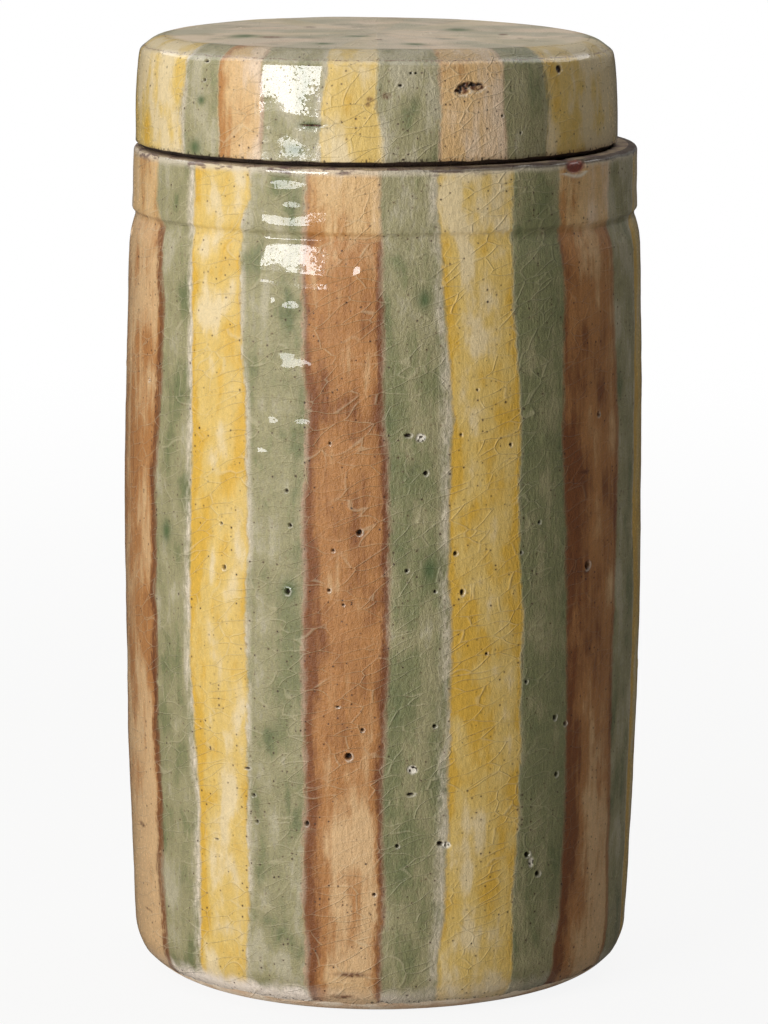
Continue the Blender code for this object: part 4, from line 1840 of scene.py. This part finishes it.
@dataclass
class Lid(TurnedClay):
    """The cap: a flat top, a narrow shoulder, an upright side and the ring below that finds the mouth."""

    name: str = "striped_lid"
    body: str = "lid"
    node: str = "lid"
    top: float = field(default_factory=lambda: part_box("lid")[1].z)
    edge_radius: float = field(default_factory=lambda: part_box("lid")[1].x)
    bottom: float = field(default_factory=lambda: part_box("lid")[0].z)
    ring_depth: float = 0.012
    ring_radius: float = 0.0531
    ring_wall: float = 0.0046
    ring_rounding: float = 0.0012
    side_bends: tuple[Point, ...] = ((0.0002, 0.0158), (0.00048, 0.0095), (0.0008, 0.0056), (0.00125, 0.0030))
    side_roundings: tuple[float, ...] = (0.0025, 0.0018, 0.0012, 0.0008, 0.0022)
    top_radius: float = 0.0537
    chamfer_height: float = 0.0010
    chamfer_width: float = 0.0012
    wall: float = 0.0070
    top_thickness: float = 0.0065
    inner_rounding: float = 0.008
    shift: float = -0.0008  # how far the cap sits from its ring's middle, which is over the foot's
    sag: float = 0.0012  # how much lower the top's edge is at the sides than in front
    tilt: float = 0.0005  # how much lower the top is at its right edge
    grid: float = 0.0011
    level_step: float = 0.004  # between the points of the ceiling
    ring_step: float = 0.003
    edge_step: float = 0.0004  # down the bare edge
    ring_wave: Wave = Wave(0.03, 9.0, 6.0, 4.0)
    pressing: tuple[Wave, ...] = (Wave(0.22, 30.0, 30.0, 11.0), Wave(0.11, 13.0, 9.0, 12.0),
                                  Wave(0.035, 9.0, 2.6, 13.0))
    steady_height: float = 3.0  # millimetres above the seat in which the waves die down
    unseen_seed: int = 23
    side_marks: int = 12  # pinholes round the back
    side_turn: Span = (88.0, 270.0)  # degrees from the front
    side_heights: Span = (0.209, 0.226)
    top_marks: int = 14  # pinholes on the top
    top_radii: Span = (0.008, 0.050)
    painting: Painting = Painting(
        rows=(75, 110, 140), first=-1, start=-86.0, end=86.0, strokes=20, seed=8,
        edges=((183.5, 180.5, 182.5), (217, 217.5, 219), (258.5, 262.5, 260.5), (326, 320.5, 320),
               (377.5, 374.5, 384), (440.5, 441.5, 439.5), (505.5, 503.5, 507), (545.5, 548, 547.5)),
        brushed=((0.38, 0.4, 0.0), (0.55, 0.4, 0.0), (0.60, 0.0, 0.0), (0.50, 0.5, 0.0), (0.46, 0.45, 0.0),
                 (0.53, 0.55, 0.0), (0.52, 0.3, 0.2), (0.90, 1.0, 0.0), (0.36, 0.3, 0.0)),
        joined=((0.75, 0.5, 0.0), (0.1, 0.2, 0.2), (0.8, 0.5, 0.0), (0.5, 0.3, 0.0), (0.35, 0.4, 0.0),
                (0.5, 0.3, 0.2), (0.6, 0.3, 0.0), (0.2, 0.3, 0.0)))

    @property
    def seat_height(self) -> float:
        """The face that rests on the rim."""
        return self.bottom + self.ring_depth

    def outline(self) -> list[Stretch]:
        """The ceiling, the inner wall, the ring, the seat, then the bare edge, the side and the top.

        Returns:
            The stretches.
        """
        ceiling = self.top - self.top_thickness
        inner = self.edge_radius - self.wall
        corner = (inner - self.inner_rounding, ceiling - self.inner_rounding)
        bore = self.ring_radius - self.ring_wall
        inside = arc(corner, self.inner_rounding, 90, 0, 8) + [(bore, self.seat_height)]
        low = self.bottom + self.ring_rounding
        ring = [(bore, self.seat_height)]
        ring += straight((bore, self.seat_height - 0.001), (bore, low), self.ring_step)
        ring += arc((bore + self.ring_rounding, low), self.ring_rounding, 180, 270, 4)[1:]
        ring += arc((self.ring_radius - self.ring_rounding, low), self.ring_rounding, -90, 0, 4)
        ring += straight((self.ring_radius, self.bottom + 2 * self.ring_rounding),
                         (self.ring_radius, self.seat_height), self.ring_step)
        ring.append((self.edge_radius - self.chamfer_width, self.seat_height))
        chamfer = straight(ring[-1], (self.edge_radius, self.seat_height + self.chamfer_height),
                           self.edge_step)
        bends = [(self.edge_radius - back, self.top - below) for back, below in self.side_bends]
        side = rounded([chamfer[-1], *bends, (self.top_radius, self.top), (0.0, self.top)],
                       self.side_roundings, self.grid)
        bend = next(index for index, point in enumerate(side) if point[1] == self.top)
        level = straight((0.0, ceiling), (corner[0], ceiling), self.level_step)
        return [Stretch(level, Finish.LINING, Sheet(0.62, 0.56, 0.32, 0.32), disc=True),
                Stretch(inside, Finish.LINING, Sheet(0.62, 0.43, 0.38, 0.12, strips=2)),
                Stretch(ring, Finish.CLAY, Sheet(0.62, 0.30, 0.38, 0.12, strips=2)),
                Stretch(chamfer + side[1:bend + 1], Finish.GLAZE, Sheet(0.0, 0.0, 1.0, 0.29, strips=2)),
                Stretch(side[bend:], Finish.GLAZE, Sheet(0.0, 0.30, 0.61, 0.70), disc=True)]

    def wave(self, point: Sequence[float], outside: float) -> float:
        """Hand-pressed waves on the cap, and almost none on the ring and the seat.

        Args:
            point: the place in millimetres.
            outside: not needed here.

        Returns:
            Millimetres that the surface stands out.
        """
        above = point[2] - self.seat_height / MM
        if above < 0.5:
            return self.ring_wave.at(point)
        return min(1.0, above / self.steady_height) * sum(wave.at(point) for wave in self.pressing)

    def settle(self, points: np.ndarray) -> np.ndarray:
        """Warps the cap as it dried, and sets it a little to the left of its ring, which stays.

        Args:
            points: the lid's points, which this moves.

        Returns:
            The moved points.
        """
        radius = np.hypot(points[:, 0], points[:, 1]) / self.edge_radius
        upper = np.clip((points[:, 2] - self.seat_height) / (self.top - self.seat_height), 0, 1)
        sideways = (points[:, 0] / self.edge_radius) ** 2
        sunk = self.sag * sideways * np.clip(radius, 0, 1) ** 2
        points[:, 2] -= upper * (sunk + self.tilt * points[:, 0] / self.edge_radius)
        points[:, 0] += self.shift * np.clip((points[:, 2] - self.seat_height) / MM + 1, 0, 1)
        return points

    def meet(self, pixel: Point) -> Vector:
        """Finds the place on the lid's side that a pixel of the photograph shows."""
        def unmoved(at: Vector) -> Vector:
            """Takes the cap's shift off a point."""
            at.x -= self.shift
            return at

        return PHOTO.strike(pixel, 0.0, unmoved, lambda at: math.hypot(at.x, at.y) > self.edge_radius)

    def seat(self, mark: Mark, pixel: Point) -> Seated:
        """Seats a mark on the side where the photograph has it."""
        return seat_on_wall(mark, self.meet(pixel))

    def seat_above(self, mark: Mark, pixel: Point) -> Seated:
        """Finds the place on the lid's top that a pixel of the photograph shows.

        Args:
            mark: the mark.
            pixel: across and down.

        Returns:
            The seated mark.
        """
        eye, way = PHOTO.ray(pixel)
        at = eye + way * ((self.top - eye.z) / way.z)
        at.x -= self.shift
        return seat_on_top(mark, at)

    def marks(self) -> list[Seated]:
        """The marks that the photograph shows, and more of their kind on the top and round the back.

        Returns:
            The seated marks.
        """
        seated = [mark for marks in LID_MARKS for mark in marks.seated(self.seat)]
        seated += [mark for marks in TOP_MARKS for mark in marks.seated(self.seat_above)]
        draw = random.Random(self.unseen_seed)
        for _ in range(self.side_marks):
            azimuth, height = math.radians(draw.uniform(*self.side_turn)), draw.uniform(*self.side_heights)
            centre = Vector((math.sin(azimuth), -math.cos(azimuth), 0)) * self.edge_radius
            centre.z = height
            size = draw.uniform(0.7, 1.5)
            seated.append(seat_on_wall(pinhole(size, size), centre))
        for _ in range(self.top_marks):
            azimuth, radius = draw.uniform(0, math.tau), draw.uniform(*self.top_radii)
            centre = Vector((radius * math.sin(azimuth), radius * math.cos(azimuth), self.top))
            size = draw.uniform(0.7, 1.4)
            seated.append(seat_on_top(pinhole(size, size, 0.8), centre))
        return seated

    def finishes(self) -> list[bpy.types.Material]:
        """Striped glaze, bare clay and lining.

        Returns:
            The materials.
        """
        # Very dark clay for the lid's bare lower edge: its own dark clay, and partly painted shade in the
        # seam.
        iron = BareClay(pigment(66, 48, 36), pigment(36, 25, 18))
        ring = BareClay(pigment(176, 140, 104), pigment(120, 88, 66))
        band = GlazeBand(low=(self.seat_height + self.chamfer_height) / MM - 0.1, high=400.0, ragged=0.26,
                         rolled=0.0, low_clay=iron, high_clay=iron, washed_above=self.seat_height / MM,
                         full_height=self.seat_height / MM, full_reach=90.0, worn_from=30.6, strength=0.35,
                         gloss=1.0, drained=0.15, strokes=self.painting.looks(),
                         seams=self.painting.seams(), lines=(25.6, 31.0))
        return [StripedGlaze().material("lid_striped_glaze", band), ring.material("lid_bare_clay"),
                LiningGlaze().material("lid_lining_glaze")]


@dataclass(frozen=True)
class Softbox:
    """An upright or tilted lamp panel that faces the jar."""

    name: str
    azimuth: float  # degrees from the front, towards the right
    distance: float
    base: float  # height of its lower edge
    width: float
    height: float
    power: float
    tilt: float = 0.0  # degrees, how far it looks down

    def place(self) -> None:
        """Puts the lamp in the scene."""
        lamp = bpy.data.lights.new(self.name, "AREA")
        lamp.shape = "RECTANGLE"
        lamp.size, lamp.size_y, lamp.energy = self.width, self.height, self.power
        panel = bpy.data.objects.new(self.name, lamp)
        around = math.radians(self.azimuth)
        panel.location = (self.distance * math.sin(around), -self.distance * math.cos(around),
                          self.base + self.height / 2)
        panel.rotation_euler = (math.pi / 2 - math.radians(self.tilt), 0, around)
        panel.visible_camera = False
        bpy.context.scene.collection.objects.link(panel)


@dataclass(frozen=True)
class Studio:
    """A plain white set with soft light from the left front."""

    lamps: tuple[Softbox, ...] = (
        Softbox("key", -40.3, 1.3, 0.17, 0.66, 0.60, 14.6),
        Softbox("back_right", 140.0, 1.3, 0.85, 1.8, 1.0, 8.0, tilt=45.0),
        Softbox("back_left", -130.0, 1.3, 0.85, 1.8, 1.0, 9.0, tilt=45.0),
        Softbox("overhead", 0.0, 0.0001, 0.4, 1.2, 1.6, 5.0, tilt=90.0),
    )
    fill: float = 0.03
    mirrored: float = 0.12  # how bright the white set looks in a reflection
    floor_mirrored: float = 0.04
    floor_size: float = 40.0
    floor_colour: Colour = pigment(206, 203, 196)
    glow_near: float = 0.90
    glow_reach: Span = (0.22, 1.1)  # metres from the jar

    def world(self) -> None:
        """Lights the set: white to look at, paler in reflections, and a weak fill on the jar."""
        world = bpy.data.worlds.new("white_set")
        world.use_nodes = True
        board = Board(world.node_tree)
        looked_at, glossy = board.seen_by()
        seen = looked_at + glossy * (self.mirrored - self.fill)
        light = board.add("ShaderNodeBackground", {},
                          {"Color": WHITE, "Strength": seen * (1 - self.fill) + self.fill})
        board.node("ShaderNodeOutputWorld", {}, {"Surface": light})
        bpy.context.scene.world = world

    def floor(self) -> None:
        """Lays a white floor that keeps a soft shadow near the jar and fades into the set."""
        mesh = bpy.data.meshes.new("floor")
        reach = self.floor_size / 2
        mesh.from_pydata([(-reach, -reach, 0), (reach, -reach, 0), (reach, reach, 0), (-reach, reach, 0)], [],
                         [(0, 1, 2, 3)])
        material, board = new_material("white_floor")
        at = board.add("ShaderNodeTexCoord", {}, {}, "Object")
        away = board.add("ShaderNodeVectorMath", {"operation": "LENGTH"}, {0: at}, "Value")
        looked_at, glossy = board.seen_by()
        glow = away.fade(*self.glow_reach) * (1 - self.glow_near) + self.glow_near
        lit = board.add("ShaderNodeBsdfDiffuse", {}, {"Color": self.floor_colour})
        shining = board.add("ShaderNodeEmission", {},
                            {"Color": WHITE, "Strength": looked_at + glossy * self.floor_mirrored})
        share = glow * looked_at + glossy
        mixed = board.add("ShaderNodeMixShader", {}, {0: share, 1: lit, 2: shining})
        board.node("ShaderNodeOutputMaterial", {}, {"Surface": mixed})
        mesh.materials.append(material)
        floor = bpy.data.objects.new("floor", mesh)
        bpy.context.scene.collection.objects.link(floor)

    def build(self) -> None:
        """Sets up the camera, the lamps, the world and the floor."""
        PHOTO.make_camera()
        for lamp in self.lamps:
            lamp.place()
        self.world()
        self.floor()
        bpy.context.scene.view_settings.view_transform = "Standard"
        log.info("studio: %d lamps", len(self.lamps))


def main() -> None:
    """Builds the studio and the two pieces."""
    logging.basicConfig(level=logging.INFO, format="%(name)s: %(message)s")
    Studio().build()
    for piece in (JarBody(), Lid()):
        made = piece.make()
        log.info("%s rides on %s", made.name, piece.body)


if __name__ == "__main__":
    main()
